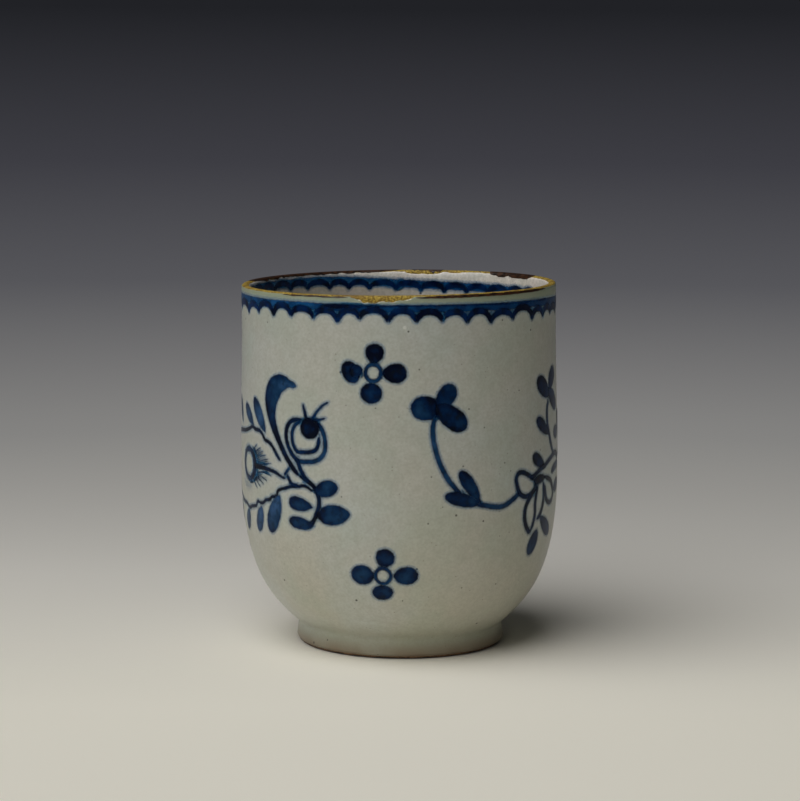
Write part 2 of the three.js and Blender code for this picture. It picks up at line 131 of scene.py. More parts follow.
bpy.ops.object.add(type="LATTICE", location=(0, 0, cage_height / 2))
cage = bpy.context.object
cage.scale = (2 * cage_half, 2 * cage_half, cage_height)
for axis in "uvw":
    setattr(cage.data, "points_" + axis, 2)
    setattr(cage.data, "interpolation_type_" + axis, "KEY_LINEAR")
for corner in cage.data.points:
    if corner.co.z > 0:
        side = 2 * corner.co.x
        corner.co_deform.x -= rim_lean * top_share / (2 * cage_half)
        corner.co_deform.z += side * rim_rise * top_share * cage_half / rim_radius / cage_height


def finish_piece(piece, material, slot, *nodes):
    """Bends a piece with the cup, gives it its finish, and sets it in place of its nodes."""
    apply_modifier(piece, "LATTICE", object=cage)
    piece.data.materials.clear()
    piece.data.materials.append(material)
    use_only(piece)
    bpy.ops.object.shade_smooth()
    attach(piece, "root")
    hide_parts(*nodes)


# A material is made of nodes. They are added to the tree in hand, which is called tree.

def set_inputs(node, inputs):
    """Gives a node its inputs, as values or as the sockets that feed them."""
    for socket, value in inputs.items():
        if isinstance(value, bpy.types.NodeSocket):
            tree.links.new(value, node.inputs[socket])
        else:
            node.inputs[socket].default_value = value


def add_node(kind, inputs=None, **settings):
    node = tree.nodes.new("ShaderNode" + kind)
    for name, value in settings.items():
        setattr(node, name, value)
    set_inputs(node, inputs or {})
    return node


def calculate(operation, *values):
    return add_node("Math", dict(enumerate(values)), operation=operation).outputs[0]


def ramp(value, low, high, to_low=0.0, to_high=1.0):
    """Takes a value that goes from low to high smoothly to another range."""
    inputs = {"Value": value, "From Min": low, "From Max": high, "To Min": to_low, "To Max": to_high}
    node = add_node("MapRange", inputs, interpolation_type="SMOOTHSTEP")
    return node.outputs["Result"]


def blend_colors(share, first, second, mode="MIX"):
    inputs = {"Factor": share, 6: first, 7: second}
    return add_node("Mix", inputs, data_type="RGBA", blend_type=mode).outputs[2]


def clouds_in(place, feature, detail=2.0):
    """Cloudy variation from 0 to 1, in features of the given size."""
    inputs = {"Vector": place, "Scale": 1 / feature, "Detail": detail}
    return add_node("TexNoise", inputs).outputs["Fac"]


def color(red, green, blue):
    """A colour as read off a screen, 0 to 255, for a shader."""
    shares = [channel / 255 for channel in (red, green, blue)]
    linear = [c / 12.92 if c <= 0.04045 else ((c + 0.055) / 1.055) ** 2.4 for c in shares]
    return (*linear, 1.0)


def new_material(name):
    material = bpy.data.materials.new(name)
    material.use_nodes = True
    tree = material.node_tree
    return material, tree, tree.nodes["Principled BSDF"]


def object_place():
    return add_node("TexCoord").outputs["Object"]


def height_of(place):
    return add_node("SeparateXYZ", {"Vector": place}).outputs["Z"]


def bump_from(height, depth, strength):
    inputs = {"Height": height, "Distance": depth, "Strength": strength}
    return add_node("Bump", inputs).outputs["Normal"]


clay_outline = [
    (0, 3.8), (14.8, 3.8), (17.0, 2.5), (17.95, 0.75), (17.95, 0.2), (18.15, 0),
    (19.5, 0), (19.95, 0.1), (20.25, 0.34), (20.33, 0.62), (20.28, 0.9),
    (19.98, 3.5, None, (0, 0.7)), (20.9, 5.1, (-0.5, -0.4), (5.2, 4.6)),
    (31.0, 34.2, (0, -18.8), (0, 12)), (30.62, 70.4), (30.3, 70.9),
    (29.9, 70.9), (29.62, 70.4), (29.12, 34.2, None, (0, -18.6)), (10, 7.15, (12.5, 0), None), (0, 7.15),
]
clay_body = turn_on_wheel("clay_body_turned", clay_outline, steps=288)
roughen(clay_body, "clay_tooling", feature=3 * mm, depth=0.06 * mm)
for vertex in clay_body.data.vertices:
    vertex.co.z = max(vertex.co.z, 0)

lip_crown = [
    (31.0, 71.1), (30.95, 71.27), (30.78, 71.42), (30.5, 71.5), (30.15, 71.52), (29.8, 71.46),
    (29.55, 71.32), (29.4, 71.08),
]
crown_middle = 30.2                 # radius at the middle of the lip
clay_share = 0.93                   # the clay's crown is narrower than the glazed lip, and lower
clay_below = 0.04
lip_outline = [
    (30.74, 69.4), (30.76, 70.4), (30.85, 70.85),
    *[(crown_middle + clay_share * (r - crown_middle), z - clay_below) for r, z in lip_crown],
    (29.47, 70.85), (29.54, 69.4), (30.74, 69.4),
]
lip_clay = turn_on_wheel("lip_edge_bare_clay", lip_outline, steps=1080, fineness=6)
roughen(lip_clay, "lip_wear", feature=2.5 * mm, depth=0.08 * mm)
roughen(lip_clay, "lip_grain", feature=0.35 * mm, depth=0.05 * mm)

# Fired clay: grainy buff with darker grit, golden on the lip where tea has soaked into it
buff_clay, tree, shader = new_material("buff_clay")
place = object_place()
height = height_of(place)
grain = clouds_in(place, 0.35 * mm, detail=3)
patches = clouds_in(place, 2.4 * mm)
at_lip = ramp(height, 60 * mm, 66 * mm)
foot_tone = blend_colors(ramp(grain, 0.35, 0.65), color(112, 82, 58), color(158, 122, 88))
# Near-black along the foot's bottom edge: partly soil, partly painted contact shade where the foot meets the
# table
edge_soil_and_shade = calculate("MULTIPLY", ramp(height, 0.25 * mm, 0.7 * mm, 1, 0), ramp(patches, 0.35, 0.6, 0.6, 1))
foot_tone = blend_colors(edge_soil_and_shade, foot_tone, color(28, 20, 14))
lip_tone = blend_colors(ramp(grain, 0.36, 0.62), color(124, 98, 34), color(204, 174, 78))
lip_dark = blend_colors(ramp(patches, 0.5, 0.72, 0, 0.6), lip_tone, color(104, 68, 30))
tone = blend_colors(at_lip, foot_tone, lip_dark)
set_inputs(shader, {
    "Base Color": tone, "Normal": bump_from(grain, 0.08 * mm, 0.6), "Roughness": 0.62,
    "Specular IOR Level": 0.35,
})

finish_piece(clay_body, buff_clay, "clay", "clay_body")
finish_piece(lip_clay, buff_clay, "clay", "clay_body")


# Tin glaze: an opaque, slightly green-grey white coat, a third of a millimetre thick, outside,
# inside and in the hollow of the foot. The cup was dipped, then wiped clean at the foot's edge,
# and the glaze has since broken off the lip in places.

coat = 0.35 * mm
glaze_foot = 0.6
lip_from = 69.6
lip_edge = 71.27
outer_outline = [
    (20.42, glaze_foot), (20.62, 1.1), (20.35, 3.5, None, (0, 0.6)),
    (21.15, 4.85, (-0.45, -0.4), (5.2, 4.6)), (31.4, 34.2, (0, -18.8), (0, 12)),
    (31.0, 62), (31.0, lip_from), (31.0, 69.9), (31.0, 70.2), (31.0, 70.45), (31.0, 70.65),
    (31.0, 70.85), (30.98, 71.05), (30.92, lip_edge),
]
outer_glaze = turn_on_wheel("outer_glaze_coat", outer_outline, steps=720, fineness=18)
roughen(outer_glaze, "glaze_flow", feature=14 * mm, depth=0.12 * mm)
roughen(outer_glaze, "glaze_ripple", feature=4 * mm, depth=0.025 * mm)

belly = 31.4                        # widest radius of the wall

# Where the glaze has broken off the lip: place round the cup and half width, both along the belly,
# and depth, all in millimetres
lip_chips = [
    (-3.0, 6.2, 0.85), (-5.2, 2.4, 1.3), (-1.6, 1.6, 1.05), (-14.5, 1.2, 0.25), (24, 1.4, 0.2),
    (52, 3, 0.4), (84, 2.2, 0.5), (98, 3.4, 0.6), (118, 2, 0.3), (140, 4, 0.35),
]


def round_the_cup(spot, middle=0.0):
    """Distance along the belly, in millimetres, from the front towards +X."""
    angle = np.arctan2(spot[0], -spot[1])
    return (angle * belly - middle + pi * belly) % (tau * belly) - pi * belly


ragged = 0.1                        # the coat's edge wanders by this
ragged_feature = 1.6 * mm
nibble_feature = 0.7 * mm


def wear_lip(piece, chips):
    """Lowers the coat's upper edge to a ragged line with chips in it, and notes where it broke."""
    broken = []
    for vertex in piece.data.vertices:
        height = vertex.co.z / mm
        share = (height - lip_from) / (lip_edge - lip_from)
        if share <= 0:
            broken.append(0.0)
            continue
        spot = vertex.co.xyz * Vector((1, 1, 0))
        loss = ragged * (0.5 + noise.fractal(spot / ragged_feature, 1.0, 2.0, 4))
        for middle, half, depth in chips:
            away = abs(round_the_cup(vertex.co, middle)) / half
            if away < 1:
                nibble = 0.95 + 0.3 * noise.noise(spot / nibble_feature)
                loss = max(loss, depth * (1 - away ** 4) * nibble)
        vertex.co.z -= max(loss, 0) * share * mm
        broken.append(share ** 2 * min(1, max(0, loss - ragged) * 4))
    piece.data.attributes.new("broken", "FLOAT", "POINT").data.foreach_set("value", broken)


def copy_of(piece):
    twin = piece.copy()
    twin.data = piece.data.copy()
    bpy.context.scene.collection.objects.link(twin)
    return twin


paper_form = copy_of(outer_glaze)
wear_lip(outer_glaze, lip_chips)
apply_modifier(outer_glaze, "SOLIDIFY", thickness=coat, offset=-1.0)

inner_outline = [
    (29.48, 71.23), (29.38, 70.95), (29.32, 70.6), (29.3, 70.2), (29.3, lip_from), (29.26, 62),
    (28.8, 34.2, (0, 12), (0, -18.6)), (10, 7.5, (12.5, 0), None), (0, 7.5),
]
inner_glaze = turn_on_wheel("inner_glaze_coat", inner_outline, steps=600, fineness=18, faces_in=True)
roughen(inner_glaze, "inside_flow", feature=10 * mm, depth=0.1 * mm)
inner_chips = [(93, 4.5, 0.6), (86, 1.8, 0.3), (-66, 2, 0.3), (20, 3, 0.25)]
inner_form = copy_of(inner_glaze)
wear_lip(inner_glaze, inner_chips)
apply_modifier(inner_glaze, "SOLIDIFY", thickness=coat, offset=-1.0)

recess_outline = [
    (0, 3.4), (6, 3.4), (14.3, 3.4, None, (0.9, 0)), (17.05, 2.0, (-0.7, 0.7), None), (17.6, glaze_foot),
]
recess_glaze = turn_on_wheel("foot_recess_glaze_coat", recess_outline, steps=288, fineness=6, faces_in=True)
roughen(recess_glaze, "recess_flow", feature=5 * mm, depth=0.16 * mm)
apply_modifier(recess_glaze, "SOLIDIFY", thickness=coat, offset=-1.0)


def new_group(name, inputs, outputs):
    """A shader node group with named sockets: inputs as {name: default}, outputs as {name: kind}."""
    group = bpy.data.node_groups.new(name, "ShaderNodeTree")
    for socket, default in inputs.items():
        kind = "NodeSocketColor" if isinstance(default, tuple) else "NodeSocketFloat"
        group.interface.new_socket(socket, in_out="INPUT", socket_type=kind).default_value = default
    for socket, kind in outputs.items():
        group.interface.new_socket(socket, in_out="OUTPUT", socket_type="NodeSocket" + kind)
    return group, group.nodes.new("NodeGroupInput").outputs, group.nodes.new("NodeGroupOutput")


# Pinholes and iron specks of the fired surface: few and dark, or many and faint
tree, given, result = new_group(
    "fired_specks", {"Spacing": 1 * mm, "Size": 0.1 * mm, "Share": 0.5}, {"Mask": "Float"})
speck_group = tree
per_metre = calculate("DIVIDE", 1.0, given["Spacing"])
cells = add_node("TexVoronoi", {"Vector": object_place(), "Scale": per_metre})
away = calculate("MULTIPLY", cells.outputs["Distance"], given["Spacing"])
lot = add_node("SeparateColor", {"Color": cells.outputs["Color"]}).outputs
reach = calculate("MULTIPLY", given["Size"], calculate("ADD", lot["Green"], 0.4))
near = calculate("SUBTRACT", 1.0, calculate("DIVIDE", away, reach))
chosen = calculate("LESS_THAN", lot["Red"], given["Share"])
set_inputs(result, {"Mask": calculate("MULTIPLY", ramp(near, 0.0, 0.5), chosen)})


def specks(spacing, size, share):
    inputs = {"Spacing": spacing, "Size": size, "Share": share}
    return add_node("Group", inputs, node_tree=speck_group).outputs["Mask"]


# Surface of the glaze, which the painting shares, because the colour sank into it in the kiln
tree, given, result = new_group(
    "glaze_surface", {"Tone": color(180, 181, 168), "Lip tint and sheen": color(255, 255, 255)},
    {"Color": "Color", "Roughness": "Float", "Height": "Float"})
glaze_group = tree
place = object_place()
height = height_of(place)
drift = clouds_in(place, 26 * mm, detail=3)
broad = clouds_in(place, 9 * mm, detail=2)
warm = calculate("MULTIPLY", ramp(height, 8 * mm, 50 * mm, 1.0, 0.45), ramp(drift, 0.3, 0.62))
warm_tone = blend_colors(1.0, given["Tone"], color(255, 248, 236), mode="MULTIPLY")
tone = blend_colors(warm, given["Tone"], warm_tone)
cool_tone = blend_colors(1.0, tone, color(240, 250, 246), mode="MULTIPLY")
tone = blend_colors(ramp(broad, 0.35, 0.7, 0, 0.6), tone, cool_tone)
# Under the lip the tone takes a tint: pooled green outside, and inside a painted sheen
under_lip = ramp(height, 69.0 * mm, 70.4 * mm, 0, 1.0)
tone = blend_colors(under_lip, tone, given["Lip tint and sheen"], mode="MULTIPLY")
grain = clouds_in(place, 0.5 * mm, detail=2)
tone = blend_colors(ramp(grain, 0.35, 0.7, 0, 0.24), tone, color(150, 148, 130))
mottled = clouds_in(place, 1.6 * mm, detail=2)
tone = blend_colors(ramp(mottled, 0.32, 0.68, 0, 0.2), tone, color(156, 154, 138))
# Towards the foot the glaze is greener and darker: partly glaze pooled in the crease above the foot, partly
# painted crease shade
pooled_glaze_and_crease_shade = ramp(height, 2.0 * mm, 8.0 * mm, 0.55, 0)
tone = blend_colors(pooled_glaze_and_crease_shade, tone, color(140, 142, 118))
soiled = calculate("MULTIPLY", ramp(height, 0.4 * mm, 3.8 * mm, 0.95, 0), ramp(broad, 0.3, 0.6, 0.55, 1.0))
tone = blend_colors(soiled, tone, color(126, 108, 88))
faint = specks(1.3 * mm, 0.13 * mm, 0.8)
strong = specks(2.9 * mm, 0.24 * mm, 0.6)
tone = blend_colors(calculate("MULTIPLY", faint, 0.5), tone, color(104, 94, 78))
tone = blend_colors(calculate("MULTIPLY", strong, 0.85), tone, color(46, 38, 34))
# The largest specks in front, and a blister under the border, painted white partly as its highlight:
# place round the cup, height and reach, in millimetres
large_specks = [
    (11.0, 29.9, 0.34), (5.5, 28.5, 0.26), (8.3, 31.6, 0.2), (12.4, 39.2, 0.24), (13.7, 50.0, 0.22),
    (17.0, 46.3, 0.2), (21.8, 39.2, 0.22), (25.9, 52.7, 0.22), (6.1, 37.4, 0.2), (1.9, 64.8, 0.26),
]
blister = [(1.2, 65.5, 0.5)]
wall_heights = (24, 34, 46, 62)
wall_radii = (30.9, belly, 31.3, 31.0)


def marks_at(places):
    """Round marks on the outside of the cup, at places on its bent wall."""
    marked = 0.0
    for across, up, reach in places:
        turn = across / belly
        out = np.interp(up, wall_heights, wall_radii)
        lean = rim_lean * up * mm / cup_height
        spot = Vector((sin(turn) * out * mm - lean, -cos(turn) * out * mm, up * mm))
        away = add_node("VectorMath", {0: place, 1: spot}, operation="DISTANCE").outputs["Value"]
        mark = ramp(away, 0.4 * reach * mm, reach * mm, 1, 0)
        marked = calculate("MAXIMUM", marked, mark)
    return marked


large = marks_at(large_specks)
raised = marks_at(blister)
# The blister is painted whiter, partly its own colour and partly a painted highlight on its rise
tone = blend_colors(calculate("MULTIPLY", raised, 0.5), tone, color(232, 232, 222))
tone = blend_colors(calculate("MULTIPLY", large, 0.85), tone, color(52, 44, 40))
peel = clouds_in(place, 1.3 * mm, detail=1)
dents = calculate("SUBTRACT", calculate("MULTIPLY", strong, 1.5), calculate("MULTIPLY", raised, 6.0))
set_inputs(result, {
    "Color": tone, "Roughness": ramp(drift, 0.3, 0.7, 0.3, 0.37),
    "Height": calculate("SUBTRACT", peel, dents),
})
glaze_relief = (0.03 * mm, 0.35)    # depth and strength of the bump

# Outside the glaze pooled green under the lip. Inside it is whiter, and at the lip a painted sheen,
# brighter than white, makes it whiter still. Where it broke off the lip, its edge is white and rough.
glaze_coats = [
    (outer_glaze, "outer_glaze", "tin_glaze_outside", color(190, 192, 185), color(215, 225, 203)),
    (inner_glaze, "inner_glaze", "tin_glaze_inside", color(214, 207, 199), (1.45, 1.46, 1.5, 1.0)),
    (recess_glaze, "foot_recess_glaze", "tin_glaze_recess", color(176, 172, 154), color(255, 255, 255)),
]
for piece, node, name, tone, lip_tint_and_sheen in glaze_coats:
    tin_glaze, tree, shader = new_material(name)
    surface = add_node("Group", {"Tone": tone, "Lip tint and sheen": lip_tint_and_sheen}, node_tree=glaze_group).outputs
    broken = add_node("Attribute", attribute_name="broken").outputs["Fac"]
    crumbs = clouds_in(object_place(), 0.4 * mm, detail=3)
    fresh = calculate("MULTIPLY", ramp(broken, 0.6, 0.95), ramp(crumbs, 0.42, 0.6))
    set_inputs(shader, {
        "Base Color": blend_colors(fresh, surface["Color"], color(236, 230, 208)),
        "Roughness": surface["Roughness"], "Normal": bump_from(surface["Height"], *glaze_relief),
        "Specular IOR Level": 0.3,
    })
    finish_piece(piece, tin_glaze, "glaze", node)


# Brown line of iron slip, brushed along the lip. Use has rubbed it away in places, so only arcs of
# it are left, and these are ragged: in front it clings to the outer side, at the back to the crown.

# Each arc: name, first and last degree, the part of the lip that it covers, from 0 where the outer
# wall ends to 1 where the inner wall begins, and how much its edges fray
lip_arcs = [
    ("front_left", -45, -18, 0.14, 0.27, 0.09), ("front_right", 6, 66, 0.02, 0.31, 0.07),
    ("back_right", 114, 141, 0.25, 1.0, 0.14), ("back_middle", 162, 175, 0.34, 0.76, 0.32),
    ("back_left", 180, 261, 0.25, 0.84, 0.14),
]
line_coat = 0.05 * mm
line_step = 0.4                     # degrees
line_across = 10
line_taper = 6                      # a sixth of the line at each end grows thin
fray_fineness = 18

iron_brown, tree, shader = new_material("iron_brown")
place = object_place()
thin = clouds_in(place, 0.8 * mm, detail=4)
tone = blend_colors(ramp(thin, 0.36, 0.66), color(26, 15, 8), color(76, 44, 20))
set_inputs(shader, {
    "Base Color": tone, "Roughness": ramp(thin, 0.3, 0.7, 0.3, 0.55),
    "Normal": bump_from(thin, 0.05 * mm, 0.5),
})

crown = np.array([(31.09, 70.8), (31.08, 70.96), *lip_crown, (29.33, 70.88), (29.27, 70.62)])
crown_at = np.linspace(0, 1, len(crown))
for name, first, last, outer, inner, fray in lip_arcs:
    steps = round((last - first) / line_step)
    section = [(31.0, 71.1 + 0.04 * row) for row in range(line_across)]
    line = turn_on_wheel("lip_line_%s_slip" % name, section, steps, arc=(first, last))
    for vertex in line.data.vertices:
        column, row = divmod(vertex.index, line_across)
        turn = radians(first + column * line_step)
        spot = Vector((sin(turn), -cos(turn), 0)) * fray_fineness
        along = column / steps
        taper = min(1, line_taper * along, line_taper * (1 - along)) ** 0.5
        edges = [
            outer + fray * noise.fractal(spot, 1.0, 2.0, 3),
            inner + fray * noise.fractal(spot + Vector((0, 0, 7)), 1.0, 2.0, 3),
        ]
        middle, half = sum(edges) / 2, max(0.01, (edges[1] - edges[0]) / 2 * taper)
        share = min(1, max(0, middle + half * (2 * row / (line_across - 1) - 1)))
        radius, up = (np.interp(share, crown_at, places) * mm for places in crown.T)
        vertex.co = Vector((sin(turn) * radius, -cos(turn) * radius, up))
    roughen(line, "slip_" + name, feature=0.8 * mm, depth=0.03 * mm)
    apply_modifier(line, "SOLIDIFY", thickness=line_coat, offset=0.0)
    finish_piece(line, iron_brown, "iron_brown", "lip_line_" + name)


# Outer border, in cobalt: a washed band under the lip, and a row of small dark arches brushed
# along its lower edge, whose ends hang down in points. Cobalt was painted on the raw glaze with a
# soft brush, so a stroke is dark where it was laid wet and pale and blurred at its edges.
#
# The painting is drawn on paper that is then wrapped round the cup. A point on the paper is its
# place round the cup along the belly, from the front towards +X, its height above the table and
# the width of the stroke there, all in millimetres.

brush_soft = 0.5                    # a stroke's mesh is wider than its colour by this, each side
brush_step = 0.32                   # along a stroke, and closer at its ends
end_crowding = 0.75
brush_bristles = 11
paper_lift = 0.03 * mm              # first stroke above the glaze, and then a step for each layer
layer_lift = 0.003 * mm
paint_coat = 0.02 * mm
run_out = 0.35                      # colour stops running this far before other paint
nearby = 3                          # paint further off than this can't lie under a stroke
least_half = 0.02                   # a stroke's mesh never ends narrower than this
painted = []                        # middle, half width and layer of the strokes so far

brush_tip, tip_line, tip_spline = new_line("brush_tip", "POLY")
tip_line.dimensions = "2D"
tip_spline.points.add(brush_bristles - 1)
for bristle, point in enumerate(tip_spline.points):
    point.co = (2 * bristle / (brush_bristles - 1) - 1, 0, 0, 1)


def slopes_at(knots, values, closed, level):
    """Slopes of a smooth line at its knots. A level line never swings past the knots' values."""
    sides = np.diff(values) / np.diff(knots)
    first, last = (sides[-1], sides[0]) if closed else (sides[0], sides[-1])
    before, after = np.append(first, sides), np.append(sides, last)
    if not level:
        return (before + after) / 2
    both = np.where(before + after == 0, 1, before + after)
    return np.where(before * after > 0, 2 * before * after / both, 0)


def values_between(knots, values, places, closed, level):
    """Values of the smooth line through the knots, at the places along it."""
    slopes = slopes_at(knots, values, closed, level)
    step = np.clip(np.searchsorted(knots, places, side="right") - 1, 0, len(knots) - 2)
    width = knots[step + 1] - knots[step]
    share = (places - knots[step]) / width
    rest = 1 - share
    return (values[step] * (1 + 2 * share) * rest ** 2 + values[step + 1] * share ** 2 * (3 - 2 * share)
            + width * share * rest * (slopes[step] * rest - slopes[step + 1] * share))


def drawn_through(points, margin, closed):
    """Turns a stroke's few points into a smooth, finely stepped one that ends in points."""
    points = np.array(points, dtype=float)
    if closed:
        points = np.vstack([points, points[:1]])
    else:
        for end, beside in ((0, 1), (-1, -2)):
            reach = points[end, 2] / 2 + margin
            if reach > 0:
                away = points[end, :2] - points[beside, :2]
                tip = [*(points[end, :2] + away / np.hypot(*away) * reach), -2 * margin]
                points = np.vstack([[tip], points] if end == 0 else [points, [tip]])
    halves = points[:, 2] / 2 + margin
    knots = np.concatenate([[0], np.cumsum(np.hypot(*np.diff(points[:, :2], axis=0).T))])
    turn = np.linspace(0, 1, max(9, int(knots[-1] / brush_step) + 1))
    if closed:
        turn = turn[:-1]
    else:
        turn = turn - end_crowding * np.sin(tau * turn) / tau
    across, up, square = (
        values_between(knots, values, turn * knots[-1], closed, level)
        for values, level in ((points[:, 0], False), (points[:, 1], False), (halves ** 2, True))
    )
    return np.column_stack([across, up, np.sqrt(np.maximum(square, least_half ** 2))])


def brush(points, load=(1.0, 1.0), lean=0.0, blur=1.0, closed=False, layer=0):
    """Draws one stroke on the paper.

    Load is how much colour the brush gives along its way, lean is how much more it gives on the
    left than on the right, and blur is how far its edges run. Colour runs out on bare glaze only,
    so the stroke also notes where it lies on earlier paint. It goes one layer above that, unless
    its layer is given.
    """
    drawn = drawn_through(points, brush_soft * blur, closed)
    stroke, line, spline = new_line("stroke", "POLY")
    line.twist_mode = "Z_UP"
    line.bevel_mode = "OBJECT"
    line.bevel_object = brush_tip
    spline.use_cyclic_u = closed
    spline.points.add(len(drawn) - 1)
    for point, (across, up, half) in zip(spline.points, drawn):
        point.co = (across * mm, up * mm, 0, 1)
        point.radius = half * mm
    use_only(stroke)
    bpy.ops.object.convert(target="MESH")

    mesh = stroke.data
    spots = np.empty(3 * len(mesh.vertices))
    mesh.vertices.foreach_get("co", spots)
    rings = spots.reshape(-1, brush_bristles, 3)[:, :, :2] / mm
    sides = [rings[:, 0], rings[:, -1]]
    if not closed:
        sides += [rings[0], rings[-1]]
    edge = np.concatenate(sides)
    inside = rings.reshape(-1, 1, 2)
    to_edge = np.hypot(*(inside - edge).transpose(2, 0, 1)).min(axis=1)
    steps = np.hypot(*np.diff(rings.mean(axis=1), axis=0).T)
    along = np.concatenate([[0], np.cumsum(steps)]) / steps.sum()
    bristles = np.linspace(1, -1, brush_bristles)
    bare = np.ones(len(to_edge))
    given_layer = layer > 0
    for earlier, layer_below in painted:
        near = earlier[np.abs(earlier[:, 0] - drawn[:, 0].mean()) < np.ptp(drawn[:, 0]) / 2 + nearby]
        if len(near):
            gap = (np.hypot(*(inside - near[:, :2]).transpose(2, 0, 1)) - near[:, 2]).min(axis=1)
            bare = np.minimum(bare, np.clip(gap / run_out, 0, 1))
            if gap.min() < brush_soft and not given_layer:
                layer = max(layer, layer_below + 1)
    loads = np.interp(along, np.linspace(0, 1, len(load)), load)
    pigment = np.add.outer(loads, lean * bristles)
    painted.append((drawn - [0, 0, brush_soft * blur], layer))
    stroke["layer"] = layer
    attributes = {"brush_edge": to_edge / blur, "pigment": pigment.ravel(), "on_bare_glaze": bare}
    for name, values in attributes.items():
        attribute = mesh.attributes.new(name, "FLOAT", "POINT")
        attribute.data.foreach_set("value", values.astype(np.float32))
    for unused in list(mesh.uv_layers):
        mesh.uv_layers.remove(unused)
    return stroke


def press(start, end, width, fullest=0.5, tips=(0.5, 0.5), **colour):
    """A petal or a leaf, made with one press of the brush.

    Fullest is where it is widest, and tips is how pointed its ends are, from 0.5 for round to 1
    for sharp.
    """
    start, end = np.array(start), np.array(end)
    ahead = (end - start) / np.hypot(*(end - start))
    margin = brush_soft * colour.get("blur", 1.0)
    start, along = start - margin * ahead, end - start + 2 * margin * ahead
    points = []
    for share in (0, 0.04, 0.12, 0.22, 0.34, 0.5, 0.66, 0.78, 0.88, 0.96, 1):
        before = share < fullest
        away = (share - fullest) / (fullest if before else 1 - fullest)
        half = (width / 2 + margin) * (1 - away ** 2) ** tips[0 if before else 1]
        points.append((*(start + share * along), 2 * (half - margin)))
    return brush(points, **colour)


def wrap(name, strokes, form=None, radius=belly + 1, faces_in=False):
    """Wraps strokes round the cup, presses them on the glaze and makes them one piece."""
    for stroke in strokes:
        use_only(stroke)
        stroke.rotation_euler.x = pi / 2
        stroke.location.y = -(radius - belly) * mm
        bpy.ops.object.transform_apply()
        extent = stroke.dimensions.x
        apply_modifier(stroke, "SIMPLE_DEFORM", deform_method="BEND", deform_axis="Z",
                       angle=extent / (belly * mm))
        stroke.location.y = -belly * mm
        use_only(stroke)
        bpy.ops.object.transform_apply()
        lift = paper_lift + layer_lift * stroke["layer"]
        apply_modifier(stroke, "SHRINKWRAP", target=form or paper_form, wrap_method="PROJECT",
                       use_negative_direction=not faces_in, use_positive_direction=faces_in,
                       wrap_mode="ON_SURFACE", offset=lift)
        if faces_in:
            stroke.data.flip_normals()
        apply_modifier(stroke, "SOLIDIFY", thickness=paint_coat, offset=-1.0)
    bpy.ops.object.select_all(action="DESELECT")
    for stroke in strokes:
        stroke.select_set(True)
    bpy.context.view_layer.objects.active = strokes[0]
    if len(strokes) > 1:
        bpy.ops.object.join()
    piece = bpy.context.object
    piece.name = name
    return piece


def tones_along(value, stops):
    """Colour that follows a value through stops, each a value and its colour."""
    node = add_node("ValToRGB", {"Fac": value})
    elements = node.color_ramp.elements
    for index, (position, tone) in enumerate(stops):
        stop = elements[index] if index < 2 else elements.new(position)
        stop.position, stop.color = position, tone
    return node.outputs["Color"]


# Cobalt under and in the glaze: the load of the brush gives its depth of blue. It ran pale into
# the bare glaze at its edges, and burnt black-green in spots.
cobalt, tree, shader = new_material("cobalt_painting")
place = object_place()
to_edge = add_node("Attribute", attribute_name="brush_edge").outputs["Fac"]
load = add_node("Attribute", attribute_name="pigment").outputs["Fac"]
bare = add_node("Attribute", attribute_name="on_bare_glaze").outputs["Fac"]
wobble = clouds_in(place, 0.5 * mm, detail=2)
streaks = clouds_in(place, 2.2 * mm, detail=3)
depth_in = calculate("ADD", to_edge, ramp(wobble, 0.3, 0.7, -0.05, 0.05))
halo = calculate("MULTIPLY", ramp(depth_in, 0.0, 0.4, 0, 0.28), bare)
body = ramp(depth_in, 0.24, 0.82)
cover = calculate("MULTIPLY", calculate("MAXIMUM", halo, body), ramp(load, 0.0, 0.4, 0.1, 1.0))
pooled_edge = ramp(depth_in, 0.95, 1.75, 0.05, -0.05)
uneven = calculate("ADD", calculate("ADD", load, pooled_edge), ramp(streaks, 0.3, 0.7, -0.13, 0.1))
blues = tones_along(uneven, [
    (0.0, color(91, 142, 187)), (0.35, color(46, 80, 120)), (0.6, color(17, 53, 86)),
    (0.8, color(0, 31, 67)), (1.0, color(0, 6, 27)),
])
surface = add_node("Group", node_tree=glaze_group).outputs
facing = calculate("SUBTRACT", 1.0, add_node("NewGeometry").outputs["Backfacing"])
deep = calculate("MAXIMUM", ramp(depth_in, 0.32, 0.66), calculate("SUBTRACT", 1.0, bare))
height = height_of(place)
full = blend_colors(ramp(height, 64 * mm, 66 * mm), blues, (0.5, 1.3, 1.5, 1.0), mode="MULTIPLY")
scorched = clouds_in(place, 1.1 * mm, detail=3)
full = blend_colors(ramp(scorched, 0.5, 0.72, 0, 0.4), full, color(20, 29, 32))
set_inputs(shader, {
    "Base Color": blend_colors(deep, color(58, 132, 184), full), "Roughness": surface["Roughness"],
    "Normal": bump_from(surface["Height"], *glaze_relief), "Alpha": calculate("MULTIPLY", cover, facing),
    "Specular IOR Level": 0.1,
})


def paint(node, strokes, **fit):
    """Wraps the strokes that make up a node and lets them stand for it."""
    finish_piece(wrap(node + "_brushwork", strokes, **fit), cobalt, "cobalt", node)


arch_thick = 1.4                    # in the middle
arch_thin = 0.8                     # at its two feet
arch_inset = 0.22                   # of its feet from the points of the border
arch_lift = 0.3


